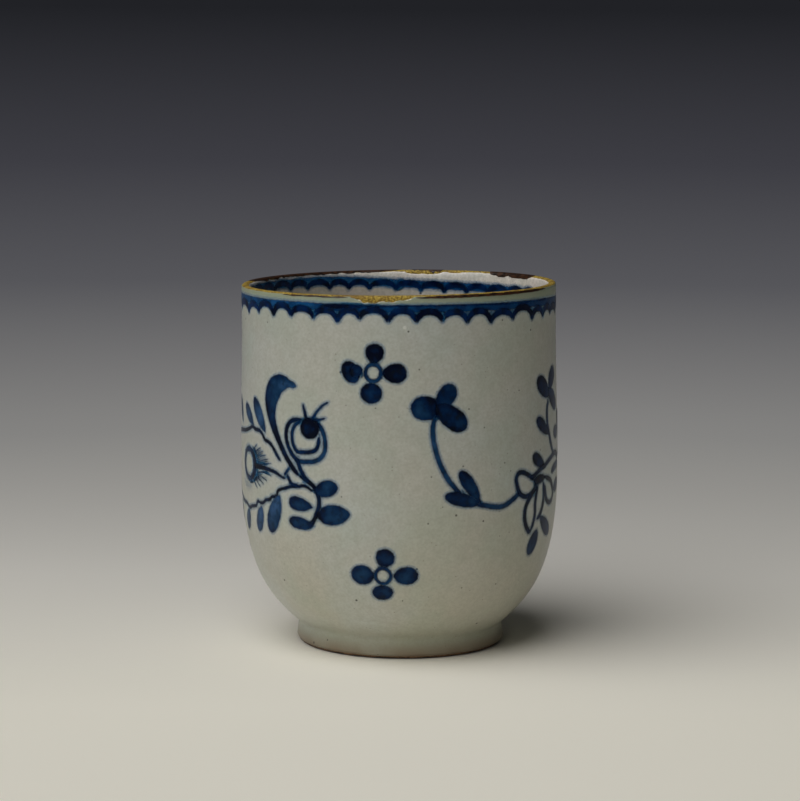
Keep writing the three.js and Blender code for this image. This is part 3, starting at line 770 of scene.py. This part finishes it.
def arch(left, right, top, load, layer):
    """One arch of a border between two points, with its lower edge at top in the middle."""
    middle, half = (left[0] + right[0]) / 2, (right[0] - left[0]) / 2 - arch_inset
    points = []
    for turn in (0, 12, 28, 55, 90, 125, 152, 168, 180):
        foot = (left if turn < 90 else right)[1] + arch_lift
        rise = top + arch_thick / 2 - foot
        width = arch_thin + (arch_thick - arch_thin) * sin(radians(turn)) ** 0.35
        points.append((middle - half * cos(radians(turn)), foot + rise * sin(radians(turn)), width))
    return brush(points, load=(load, load), layer=layer)


def points_between(start, end, count, seed):
    """The border's points between two others, count steps apart and not quite even."""
    points = []
    for step in range(1, count):
        share = step / count
        drift = 0.5 * noise.noise(Vector((step * seed[0], seed[1], 0)))
        points.append((start[0] + share * (end[0] - start[0]) + drift,
                       start[1] + share * (end[1] - start[1]) + drift / 2))
    return points


# In front the points hang where the photograph has them, with the arches' tops between them
front_points = [
    (-44.6, 66.8), (-37.8, 66.6), (-32.8, 67.05), (-27.4, 66.8), (-22.4, 67.0), (-17.0, 66.85),
    (-11.8, 66.3), (-7.4, 67.0), (-1.9, 66.5), (3.4, 66.4), (8.4, 66.4), (13.5, 66.0), (18.7, 65.7),
    (24.2, 66.05), (30.3, 65.6), (34.7, 65.7), (38.8, 66.0), (43.8, 65.7),
]
front_tops = [
    67.9, 67.95, 68.4, 68.45, 68.05, 67.95, 68.05, 68.15, 68.0, 67.7, 67.5, 67.5, 67.05, 67.5,
    66.85, 66.85, 66.6,
]
border_arches = 38
girth = tau * belly
arch_rise = 1.25                    # of the tops over the points, behind
start, end = front_points[-1], (front_points[0][0] + girth, front_points[0][1])
behind_points = points_between(start, end, border_arches - len(front_tops), seed=(0.71, 4.2))
border_points = front_points + behind_points + [end]
behind = border_points[len(front_tops):]
border_tops = front_tops + [(a[1] + b[1]) / 2 + arch_rise for a, b in zip(behind, behind[1:])]

# The wash behind the arches: place, upper edge of the band
band_tops = [
    (-98.6, 69.7), (-85, 69.6), (-72, 69.8), (-58, 69.95), (-44, 70.05), (-30, 70.05), (-16, 70.0),
    (-11, 69.85), (-4, 69.75), (4, 69.75), (12, 69.65), (20, 69.5), (28, 69.4), (36, 69.25),
    (46, 69.0), (58, 69.2), (72, 69.5), (86, 69.6), (98.6, 69.7),
]
band_depth = 1.5
band = [(across, up - band_depth / 2, band_depth) for across, up in band_tops]
strokes = [brush(band, load=(0.66, 0.58, 0.52, 0.64, 0.68, 0.66, 0.66), blur=1.15)]
# In front its upper edge is darker, and darkest where the brush was set down again
edge_drop = 0.22
edge_width = 0.34
upper_edge = [(across, up - edge_drop, edge_width) for across, up in band_tops if -12 < across < 40]
strokes.append(brush(upper_edge, load=(0.88, 0.82, 0.78), blur=0.7))
strokes.append(press((-15.6, 69.4), (-6.4, 69.4), 1.2, load=(1.0, 0.9)))
for index, top in enumerate(border_tops):
    left, right = border_points[index:index + 2]
    load = 0.9 + 0.2 * noise.noise(Vector((index * 1.3, 0, 0)))
    strokes.append(arch(left, right, top, load, layer=3 + index % 5))
paint("outer_border", strokes)
painted.clear()


# Inner border: the same band and arches inside the lip, brushed from the other side and a little
# smaller. From the front only its far stretch shows, where these points are.

inner_radius = 29.3
far_points = [
    (-30.6, 68.3), (-25.1, 68.2), (-20.4, 68.05), (-15.0, 67.85), (-10.7, 67.7), (-6.2, 67.5), (-0.6, 67.3),
    (4.6, 67.1), (9.6, 66.9), (14.6, 66.8), (19.8, 66.8), (25.2, 66.8), (30.4, 66.9),
]
stretch = belly / inner_radius
far_side = [(girth / 2 - across * stretch, up) for across, up in reversed(far_points)]
start, end = far_side[-1], (far_side[0][0] + girth, far_side[0][1])
near_side = points_between(start, end, border_arches - len(far_side) + 1, seed=(0.83, 9.1))
inner_points = far_side + near_side + [end]
inside_fit = {"form": inner_form, "radius": inner_radius - 1, "faces_in": True}
inner_band_tops = [
    (-98.6, 69.6), (-92, 70.1), (-84, 70.6), (-70, 70.7), (-50, 70.5), (-25, 70.2), (0, 69.8), (25, 69.3),
    (50, 68.9), (66, 68.8), (78, 69.0), (88, 69.2), (98.6, 69.6),
]
inner_depth = 1.8
inner_rise = 0.95
band = [(across, up - inner_depth / 2, inner_depth) for across, up in inner_band_tops]
strokes = [brush(band, load=(0.52, 0.52), blur=1.3)]
for index in range(border_arches):
    left, right = inner_points[index:index + 2]
    top = (left[1] + right[1]) / 2 + inner_rise
    strokes.append(arch(left, right, top, load=0.86, layer=1 + index % 5))
paint("inner_border", strokes, **inside_fit)
painted.clear()


# Florets: a small ring and four petals, each pressed down with the loaded tip of the brush and
# lifted off at its outer end. They are darkest where the brush first touched.

def ring_round(middle, halves, thick):
    """A ring, by its middle, the half width and half height of the way round, and its thickness."""
    turns = [tau * step / 12 for step in range(12)]
    return [(middle[0] + halves[0] * cos(turn), middle[1] + halves[1] * sin(turn), thick) for turn in turns]


def paint_floret(name, ring, petals):
    """A ring, given by its middle, the halves of its hole, its thickness and load, and petals."""
    middle, hole, thick, load = ring
    around = ring_round(middle, [half + thick / 2 for half in hole], thick)
    paint(name + "_ring", [brush(around, load=(load, load), closed=True)])
    for side, strokes in petals.items():
        paint("%s_%s_petal" % (name, side), strokes)


paint_floret("upper_floret", ((-4.8, 57.05), (1.05, 1.15), 0.9, 0.66), {
    "top": [press((-4.6, 58.5), (-4.5, 62.6), 3.75, fullest=0.58, tips=(0.7, 0.5), load=(0.9, 1.0, 1.0))],
    "left": [press((-10.3, 59.1), (-8.1, 55.1), 3.5, load=(1.0, 0.95, 0.75)),
             press((-9.4, 57.6), (-6.8, 57.1), 2.6, load=(0.9, 0.8))],
    "bottom": [press((-5.1, 55.2), (-5.3, 51.2), 4.3, load=(0.95, 0.84, 0.8))],
    "right": [press((-3.4, 57.0), (1.6, 56.9), 3.85, fullest=0.6, tips=(0.75, 0.5), load=(0.95, 1.0, 0.95))],
})
paint_floret("lower_floret", ((-3.3, 18.2), (1.1, 1.15), 0.85, 0.68), {
    "top": [press((-3.2, 19.8), (-2.4, 23.6), 3.9, fullest=0.55, tips=(0.6, 0.5), load=(0.9, 0.84, 0.86))],
    "left": [press((-5.0, 18.2), (-9.9, 18.3), 4.1, tips=(0.6, 0.5), load=(0.95, 0.74, 0.8))],
    "bottom": [press((-5.8, 14.6), (-1.3, 14.9), 3.25, load=(0.86, 0.78, 0.82))],
    "right": [press((-1.3, 18.2), (3.8, 18.3), 3.75, fullest=0.55, tips=(0.6, 0.5), load=(0.95, 0.72, 0.8))],
})


# Left spray: a big flower that turns away round the side, with a bud, a comma-shaped leaf and small
# leaves. Outlines came first, with the tip of the brush, and then the leaves, one press each.

end_width = 0.75                    # of a line, where the brush is set down and lifted off


def draw_line(points, width, load):
    """A line of even width, a little thinner at both ends."""
    ends = (0, len(points) - 1)
    return brush([(*point, width * (end_width if index in ends else 1))
                  for index, point in enumerate(points)], load=load)


paint("left_comma_leaf", [brush([
    (-21.6, 53.9, 1.2), (-22.6, 54.1, 1.5), (-24, 54.2, 2.8), (-25.6, 53.9, 3.9), (-27.2, 52.8, 4.6),
    (-28.2, 50.9, 4.2), (-28.3, 49.0, 3.4), (-27.9, 47.0, 2.4), (-27.0, 45.0, 1.9), (-25.8, 43.0, 1.5),
    (-24.4, 41.0, 1.3), (-23.0, 39.2, 1.2), (-21.6, 37.7, 1.2), (-20.7, 36.9, 0.8),
], load=(0.55, 0.68, 0.86, 0.95, 1.0), lean=-0.12)])

paint("left_bud", [
    draw_line([
        (-20, 47.5), (-22, 47.2), (-23.3, 46), (-23.7, 44.6), (-23.5, 43), (-22.8, 41.6), (-21.6, 40.2),
        (-20.3, 39.5), (-18.8, 39.5), (-17, 39.7), (-15.5, 40.4), (-14.6, 41.6), (-14.4, 43), (-14.6, 44.6),
        (-15.3, 46.2), (-16.3, 47.2),
    ], 1.05, load=(0.85, 0.9, 0.55, 0.7)),
    draw_line([
        (-20.2, 47.2), (-21.4, 46.3), (-22.1, 44.8), (-22, 43.2), (-21.5, 42), (-20.8, 41.3), (-19.5, 41.3),
        (-18, 41.4), (-16.6, 41.9), (-15.9, 43), (-15.8, 44.3),
    ], 0.95, load=(0.7, 0.9)),
    press((-20.1, 45.9), (-15.6, 46.1), 4.3, load=(1.0, 1.0)),
    brush([(-18.7, 48, 0.9), (-19.1, 49.3, 0.8), (-19.4, 50.4, 0.5)], load=(0.95, 0.75)),
    brush([(-17.2, 47.9, 0.8), (-16.2, 49.3, 0.7), (-15, 50.5, 0.6), (-13.8, 51.2, 0.4)], load=(0.9, 0.6)),
    brush([(-16.6, 47.7, 0.8), (-15.6, 47.8, 0.6), (-14.4, 48.1, 0.4)], load=(0.9, 0.6)),
    brush([(-20.8, 39.6, 1.1), (-20, 37.9, 1.1), (-18.9, 36.3, 1.1)], load=(0.85, 0.95)),
])
paint("left_stem", [draw_line([
    (-20, 36.6), (-18.3, 35.8), (-17, 34.9), (-16.2, 33.6), (-15.8, 32.2), (-16, 30.8), (-16.5, 29.6),
    (-17.2, 28.2), (-18.3, 27.1), (-19.3, 26.7),
], 1.1, load=(1.0, 0.85))])


def paint_leaves(name, leaves):
    """Each leaf is a node of its own, numbered from 1."""
    for number, leaf in enumerate(leaves, start=1):
        paint("%s_%d" % (name, number), [leaf])


# Stem leaves, two from the stem outwards and two from their tips inwards
paint_leaves("left_stem_leaf", [
    press((-16.7, 34.0), (-11.8, 35.3), 3.35, tips=(0.6, 0.5), load=(0.95, 0.68, 0.78)),
    press((-16.5, 29.3), (-9.3, 30.1), 4.1, fullest=0.48, tips=(0.6, 0.65), load=(1.0, 0.66, 0.76)),
    press((-23.1, 31.5), (-16.8, 30.8), 2.9, fullest=0.35, tips=(0.4, 0.9), load=(0.95, 0.7, 0.8)),
    press((-23.3, 27.7), (-17.0, 27.2), 2.6, fullest=0.4, tips=(0.45, 0.7), load=(0.9, 0.7, 0.9)),
])

# The flower's edges run on round the side, where the photograph doesn't show them
paint("left_flower_upper_edge", [draw_line([
    (-54.6, 36.7), (-53, 38.0), (-50.5, 40.4), (-47.5, 42.2), (-44, 42.9), (-41, 43.2), (-39, 43.5),
    (-37, 44.1), (-35.5, 44.6), (-34, 44.2), (-32.5, 44.2), (-31.2, 43.6), (-30.3, 42.6), (-29.2, 42.4),
    (-28, 41.8), (-26.8, 40.6), (-25.8, 39.5), (-25.4, 39.2),
], 0.85, load=(0.8, 0.95))])
paint("left_flower_lower_edge", [
    draw_line([
        (-17.4, 34.1), (-19, 34.8), (-20.8, 34.6), (-22.5, 34.4), (-24, 33.9), (-25.2, 33.6), (-26.2, 33.1),
        (-26.5, 32.3), (-27.3, 31.9), (-28.2, 31.7), (-28.7, 31.1), (-30.1, 30.9), (-31.0, 30.2),
        (-32.2, 30.0), (-33.5, 30.1), (-34.2, 29.2), (-35.3, 28.9), (-36.5, 28.7), (-38, 28.2),
        (-39.6, 28.8), (-42, 28.9), (-44.5, 29.6), (-47.5, 31), (-50, 33), (-53, 35.6), (-54.6, 36.7),
    ], 0.8, load=(0.95, 0.8)),
    brush([(-22.9, 37.9, 0.8), (-24.1, 36.6, 0.8)], load=(0.6, 0.65)),
    brush([(-23.3, 36.4, 0.8), (-22.4, 35.0, 0.9), (-21, 34.7, 0.9)], load=(0.85, 0.9)),
])

# Eye of the flower: a dark ring, a blurred wash beside it, and hairs that fan out to the vein
eye = (-37.35, 37.1)
eye_reach = 2.9
eye_shade = [
    (eye[0] + eye_reach * cos(radians(turn)), eye[1] + eye_reach * sin(radians(turn)), width)
    for turn, width in ((-75, 0.8), (-40, 1.5), (0, 1.9), (40, 1.5), (75, 0.8))
]
eye_hairs = [
    ((-35.0, 40.1), (-34.2, 40.8), (-33.4, 41.3)), ((-34.2, 39.7), (-33.2, 40.3), (-32.0, 40.8)),
    ((-33.8, 39.0), (-32.4, 39.8), (-31.0, 40.3)), ((-33.4, 38.5), (-31.8, 39.2), (-30.1, 39.6)),
    ((-33.0, 37.9), (-31.2, 38.5), (-29.2, 38.9)), ((-32.4, 37.4), (-30.4, 37.9), (-28.2, 38.2)),
    ((-32.6, 36.0), (-30.6, 36.1), (-28.2, 35.8)), ((-33.2, 35.5), (-31.6, 35.2), (-29.8, 34.7)),
    ((-33.6, 35.0), (-32.3, 34.5), (-30.9, 33.9)), ((-34.0, 34.5), (-33.2, 33.9), (-32.2, 33.2)),
    ((-34.8, 33.9), (-34.2, 33.4), (-33.5, 32.8)),
]
paint("left_flower_eye", [
    brush([(-41, 33.4, 0.8), (-38.5, 32.6, 1.4), (-36.5, 32.8, 1.2)], load=(0.1, 0.1), blur=1.8),
    brush([(-34.2, 40.2, 0.8), (-32.4, 39.6, 1.3), (-30, 38.8, 0.8)], load=(0.12, 0.08), blur=1.8),
    brush([(-34.0, 34.2, 0.8), (-32.2, 34.6, 1.3), (-29.6, 35.3, 0.8)], load=(0.12, 0.08), blur=1.8),
    brush(ring_round(eye, (2.95, eye_reach), 1.25), load=(0.72, 0.72), blur=1.5, closed=True),
    brush(eye_shade, load=(0.8, 0.9, 0.8), blur=1.5),
    *[brush([(*hair[0], 0.3), (*hair[1], 0.28), (*hair[2], 0.14)], load=(0.72, 0.6), blur=0.7)
      for hair in eye_hairs],
])
paint("left_flower_vein", [brush([
    (-33.9, 37.0, 1.25), (-31.5, 37.1, 1.1), (-28.5, 36.9, 0.95), (-26.5, 36.6, 0.8), (-25, 36.0, 0.7),
    (-24.2, 35.8, 0.6),
], load=(0.95, 0.8))])

# Leaves above and below the flower, from their tips to the flower's edge
paint_leaves("left_flower_leaf_above", [
    press((-34.9, 50.4), (-30.0, 43.9), 2.95, fullest=0.4, tips=(0.5, 0.7), load=(0.95, 0.5, 0.5, 0.65)),
    press((-39.7, 48.6), (-34.9, 44.8), 2.5, fullest=0.4, tips=(0.5, 0.8), load=(0.9, 0.55, 0.65)),
    press((-45.4, 49.5), (-42.2, 44.5), 2.4, fullest=0.4, tips=(0.5, 0.8), load=(0.8, 0.6)),
    press((-52.4, 46.9), (-48.2, 43.2), 2.4, fullest=0.4, tips=(0.5, 0.8), load=(0.8, 0.6)),
])
paint_leaves("left_flower_leaf_below", [
    press((-29.4, 24.6), (-25.6, 32.3), 3.85, fullest=0.42, tips=(0.5, 0.6), load=(0.76, 0.54, 0.44)),
    press((-34.1, 24.1), (-31.8, 29.4), 2.8, fullest=0.45, tips=(0.5, 0.6), load=(0.7, 0.5, 0.45)),
    press((-41.0, 23.6), (-38.2, 27.9), 2.5, fullest=0.45, tips=(0.5, 0.6), load=(0.65, 0.5)),
    press((-47.9, 24.4), (-44.8, 28.8), 2.4, fullest=0.45, tips=(0.5, 0.6), load=(0.7, 0.5)),
])


# Right spray: a trefoil on a long bent stem, a heart-shaped loop with a fan of outlined leaves under
# it, and a leafy branch that climbs away round the side.

paint("right_trefoil", [
    press((8.4, 50.0), (2.2, 50.6), 4.7, fullest=0.56, load=(1.0, 0.84, 0.7), lean=-0.14),
    press((7.4, 50.0), (10.6, 54.6), 3.75, fullest=0.58, tips=(0.55, 0.5), load=(1.0, 0.8, 0.74), lean=0.12),
    press((7.1, 50.7), (13.1, 46.2), 4.3, fullest=0.58, load=(1.0, 0.9, 0.84)),
])
paint("right_trefoil_stem", [draw_line([
    (6.8, 48.4), (6.4, 46.5), (6.5, 44.5), (6.9, 42.5), (7.5, 40.5), (8.3, 38.6), (9.3, 36.8), (10.2, 35.6),
    (11.2, 34.4), (12.2, 33.2),
], 1.1, load=(0.7, 0.52, 0.6, 0.7))])
paint("right_leaf_pair", [
    press((11.7, 38.3), (16.3, 31.6), 2.75, fullest=0.38, tips=(0.5, 0.8), load=(0.9, 0.74, 0.66)),
    press((8.6, 33.7), (16.6, 31.5), 2.85, fullest=0.4, tips=(0.5, 0.8), load=(0.9, 0.76, 0.7)),
])
paint("right_root_stem", [draw_line([
    (15.6, 31.6), (17, 31.3), (18.8, 30.9), (20.6, 30.7), (22, 30.9), (23.4, 31.5), (24.6, 32.1),
    (25.6, 32.7),
], 1.15, load=(0.75, 0.62, 0.75))])
paint("right_heart_loop", [
    draw_line([
        (25.7, 32.8), (25.3, 33.8), (24.9, 35), (24.9, 35.9), (25.5, 36.6), (26.6, 36.7), (28, 36.2),
        (29.3, 35.5), (30.3, 34.9),
    ], 1.1, load=(0.8, 0.88)),
    draw_line([
        (31.2, 34.4), (31.1, 33.3), (30.2, 32.5), (28.9, 32), (27.5, 31.9), (26.4, 32.3), (25.6, 33),
    ], 1.1, load=(0.95, 0.9)),
])
paint("right_heart_leaf", [
    press((30.1, 39.5), (35.2, 36.6), 2.6, fullest=0.36, tips=(0.5, 0.85), load=(0.9, 0.8)),
])
paint("right_fan_loop_1", [
    draw_line([
        (31.2, 33.4), (29.3, 31.6), (28, 30.2), (27.6, 28.5), (27.9, 26.9), (28.8, 25.4), (29.6, 24.6),
    ], 1.15, load=(0.95, 0.9)),
    draw_line([
        (29.9, 24.8), (30.6, 25.8), (31, 27), (31.2, 28.4), (31.1, 30), (31.3, 31.5), (31.9, 33.2),
    ], 0.95, load=(0.85, 0.95)),
])
paint("right_fan_loop_2", [draw_line([
    (34.3, 33.5), (34.6, 31.8), (34.5, 30), (33.8, 28.3), (32.8, 27.2), (32.3, 27),
], 1.05, load=(0.95, 0.85))])
paint("right_fan_loop_3", [draw_line([
    (35, 34.6), (36.8, 34.2), (38.4, 33.4), (39.4, 32.2), (39.9, 31), (39.6, 29.9), (38.2, 29.3), (37, 29.5),
    (36, 30.2), (35.4, 31.5), (35, 33),
], 1.05, load=(0.95, 0.9))])
paint("right_fan_leaf_1", [
    press((33.0, 27.4), (39.4, 22.9), 2.7, fullest=0.6, tips=(0.8, 0.55), load=(0.85, 0.75)),
])
paint("right_fan_leaf_2", [
    press((32.8, 24.8), (30.4, 20.0), 3.5, fullest=0.55, tips=(0.65, 0.5), load=(0.8, 0.75)),
])
paint("right_branch_stem", [
    press((30.4, 34.4), (34.9, 34.8), 1.9, load=(0.95, 1.0, 0.9)),
    draw_line([
        (29.6, 35.3), (31.5, 35.9), (33, 36.5), (34.8, 36.9), (36.2, 37.4), (38.8, 38.1), (40.5, 38.6),
        (42.6, 38.4), (44.4, 37.6),
    ], 1.0, load=(0.85, 0.85)),
    draw_line([
        (40, 38.8), (38.6, 40.6), (37.6, 42.4), (36.8, 44), (36.3, 45.8), (36.3, 47.5), (36.9, 49.3),
    ], 1.0, load=(0.85, 0.8)),
    brush([(39, 35.3, 1.0), (41, 35.8, 1.5), (44, 36.2, 1.3)], load=(0.75, 0.7)),
    press((40.4, 31.6), (44.8, 32.7), 2.5, load=(0.8, 0.75)),
])
paint_leaves("right_branch_leaf", [
    press((32.0, 54.0), (37.6, 50.3), 3.7, fullest=0.42, tips=(0.5, 0.6), load=(0.95, 0.8)),
    press((41.2, 55.4), (37.4, 51.6), 3.5, fullest=0.42, tips=(0.5, 0.7), load=(0.85, 0.75)),
    press((37.4, 51.2), (42.9, 47.4), 3.3, fullest=0.5, tips=(0.6, 0.5), load=(0.85, 0.75)),
    press((31.6, 46.4), (37.3, 42.6), 2.6, fullest=0.36, tips=(0.5, 0.85), load=(0.95, 0.75)),
    press((40.6, 42.9), (45.0, 42.2), 2.6, load=(0.85, 0.75)),
])


# Back of the cup, which the photograph doesn't show: a trailing stem with single leaves joins the
# two sprays, with a floret above it and one below, painted as those in front are.

trail_middle = radians(169) * belly
trail_height = 37.4
trail_reach = 48.5
trail_swing = 3.6
trail_waves = 2
trail_leaves = 10
leaf_length = 7.0
leaf_width = 3.4


def trail_at(across):
    return trail_height + trail_swing * sin(pi * trail_waves * across / trail_reach)


trail_path = [trail_reach * (2 * step / 24 - 1) for step in range(25)]
trail = [(trail_middle + across, trail_at(across)) for across in trail_path]
strokes = [draw_line(trail, 1.0, load=(0.85, 0.8))]
for index in range(trail_leaves):
    side = -1 if index % 2 else 1
    across = trail_reach * ((2 * index + 1) / trail_leaves - 1)
    root = (trail_middle + across, trail_at(across) + side * 0.2)
    tip = (root[0] - leaf_length / 2, root[1] + side * leaf_length)
    strokes.append(press(tip, root, leaf_width, fullest=0.4, tips=(0.5, 0.8), load=(0.95, 0.6, 0.7)))
paint("back_trailing_stem", strokes)


ring_reach = 1.6
ring_outside = 2.0


def whole_floret(middle, petals):
    """Floret in one piece: petals are given by direction in degrees, length and width."""
    drawn = [brush(ring_round(middle, (ring_reach, 1.55), 0.9), load=(0.66, 0.66), closed=True)]
    for toward, length, width in petals:
        way = Vector((cos(radians(toward)), sin(radians(toward))))
        root, tip = Vector(middle) + ring_reach * way, Vector(middle) + (ring_outside + length) * way
        drawn.append(press(root, tip, width, fullest=0.56, tips=(0.65, 0.5), load=(0.9, 0.8, 0.9)))
    return drawn


paint("back_upper_floret", whole_floret((radians(163) * belly, 55.9), [
    (86, 3.5, 3.8), (174, 3.8, 4.0), (263, 3.6, 4.2), (359, 4.5, 3.9),
]))
paint("back_lower_floret", whole_floret((radians(190) * belly, 16.6), [
    (80, 3.3, 3.9), (178, 4.3, 3.7), (270, 3.6, 3.8), (359, 4.9, 3.5),
]))

for form in (cage, paper_form, inner_form, brush_tip):
    bpy.data.objects.remove(form)


# Studio: a large soft light at the front left with two weak ones low down, a dim room round it, and
# a pale floor that rises behind the cup into a sweep. The sweep goes all the way round, so that each
# side looks alike.

camera_place = Vector((0, -0.520, 0.1149))
camera_pitch = 0.1282077
camera_yaw = -0.0007457
camera_roll = 0.0075868
bpy.ops.object.camera_add()
camera = bpy.context.object
camera.matrix_world = (
    Matrix.Translation(camera_place) @ Matrix.Rotation(-camera_yaw, 4, "Z")
    @ Matrix.Rotation(pi / 2 - camera_pitch, 4, "X") @ Matrix.Rotation(camera_roll, 4, "Z")
)
camera.data.lens = 118.61
camera.data.clip_start = 0.01
bpy.context.scene.camera = camera

sweep_outline = [
    (0, 0), (300, 0), (900, 0), (1500, 0, None, (350, 0)), (2000, 500, (0, -300), None), (2000, 700),
]
sweep = turn_on_wheel("studio_sweep", sweep_outline, steps=96, fineness=12, faces_in=True)
sweep_material, tree, shader = new_material("studio_sweep")
place = add_node("SeparateXYZ", {"Vector": object_place()}).outputs
squares = [calculate("MULTIPLY", place[axis], place[axis]) for axis in "XY"]
out = calculate("SQRT", calculate("ADD", *squares))
# Rise is the slope at which a point of the sweep is seen from the camera's place, so that the floor
# fades from pale in front to dark far behind, as in the photograph. This is painted shade for the
# light falling off with distance.
near = ramp(out, 0.1, 0.35)
behind = calculate("ADD", calculate("MULTIPLY", near, out),
                   calculate("MULTIPLY", calculate("SUBTRACT", 1.0, near), place["Y"]))
reach = calculate("MAXIMUM", calculate("ADD", behind, -camera_place.y), 0.3)
rise = calculate("DIVIDE", calculate("SUBTRACT", camera_place.z, place["Z"]), reach)
fade_from = -0.03
fade_to = 0.28
position = calculate("DIVIDE", calculate("SUBTRACT", rise, fade_from), fade_to - fade_from)
fade_tones = [
    (-0.019, color(33, 34, 38)), (0.038, color(61, 61, 67)), (0.083, color(86, 86, 90)),
    (0.14, color(133, 132, 130)), (0.197, color(181, 178, 171)), (0.25, color(202, 198, 186)),
]
painted_falloff = tones_along(position, [
    ((slope - fade_from) / (fade_to - fade_from), tone) for slope, tone in fade_tones
])
floor_gain = 1.88                   # the floor is whiter than it looks in this dim light
floor_tone = add_node("VectorMath", {0: painted_falloff, "Scale": floor_gain}, operation="SCALE").outputs["Vector"]
set_inputs(shader, {"Base Color": floor_tone, "Roughness": 0.9, "Specular IOR Level": 0.1})
glow = add_node("Emission", {"Color": painted_falloff, "Strength": 1.0}).outputs[0]


def seen_directly():
    """1 for what the camera sees, straight, mirrored or through glass, and 0 for what lights the cup."""
    rays = add_node("LightPath").outputs
    mirrored = calculate("MAXIMUM", rays["Is Glossy Ray"], rays["Is Transmission Ray"])
    return calculate("MAXIMUM", rays["Is Camera Ray"], mirrored)


# Near the cup the floor is lit, and takes its shadow. Further off it glows in its own tone.
glowing = calculate("MULTIPLY", seen_directly(), ramp(out, 0.12, 0.36))
mix = add_node("MixShader", {0: glowing, 1: shader.outputs[0], 2: glow}).outputs[0]
set_inputs(tree.nodes["Material Output"], {"Surface": mix})
sweep.data.materials.append(sweep_material)
use_only(sweep)
bpy.ops.object.shade_smooth()

world = bpy.data.worlds.new("dim_room")
bpy.context.scene.world = world
world.use_nodes = True
tree = world.node_tree
dark = add_node("Background", {"Color": color(33, 34, 38), "Strength": 1.0}).outputs[0]
room = add_node("Background", {"Color": (0.9, 0.95, 1.0, 1.0), "Strength": 0.025}).outputs[0]
mix = add_node("MixShader", {0: seen_directly(), 1: room, 2: dark}).outputs[0]
set_inputs(tree.nodes["World Output"], {"Surface": mix})

# Name, degrees round to the left of the camera, degrees above the floor, distance, size, watts
lights = [
    ("key", 48, 58, 3.0, 3.6, 66.0), ("low_fill", 34, 8, 1.4, 1.05, 3.2),
    ("floor_card", -38, 1, 1.4, 0.6, 0.3),
]
cup_middle = Vector((0, 0, 0.036))
for name, turn, above, away, size, power in lights:
    bpy.ops.object.light_add(type="AREA")
    light = bpy.context.object
    light.name = name
    light.data.shape = "DISK"
    light.data.size = size
    light.data.energy = power
    light.visible_camera = False
    light.visible_glossy = name == "key"
    turn, above = radians(turn), radians(above)
    toward = Vector((-sin(turn) * cos(above), -cos(turn) * cos(above), sin(above)))
    light.location = cup_middle + away * toward
    light.rotation_euler = (-toward).to_track_quat("-Z", "Y").to_euler()

scene = bpy.context.scene
scene.view_settings.view_transform = "Standard"
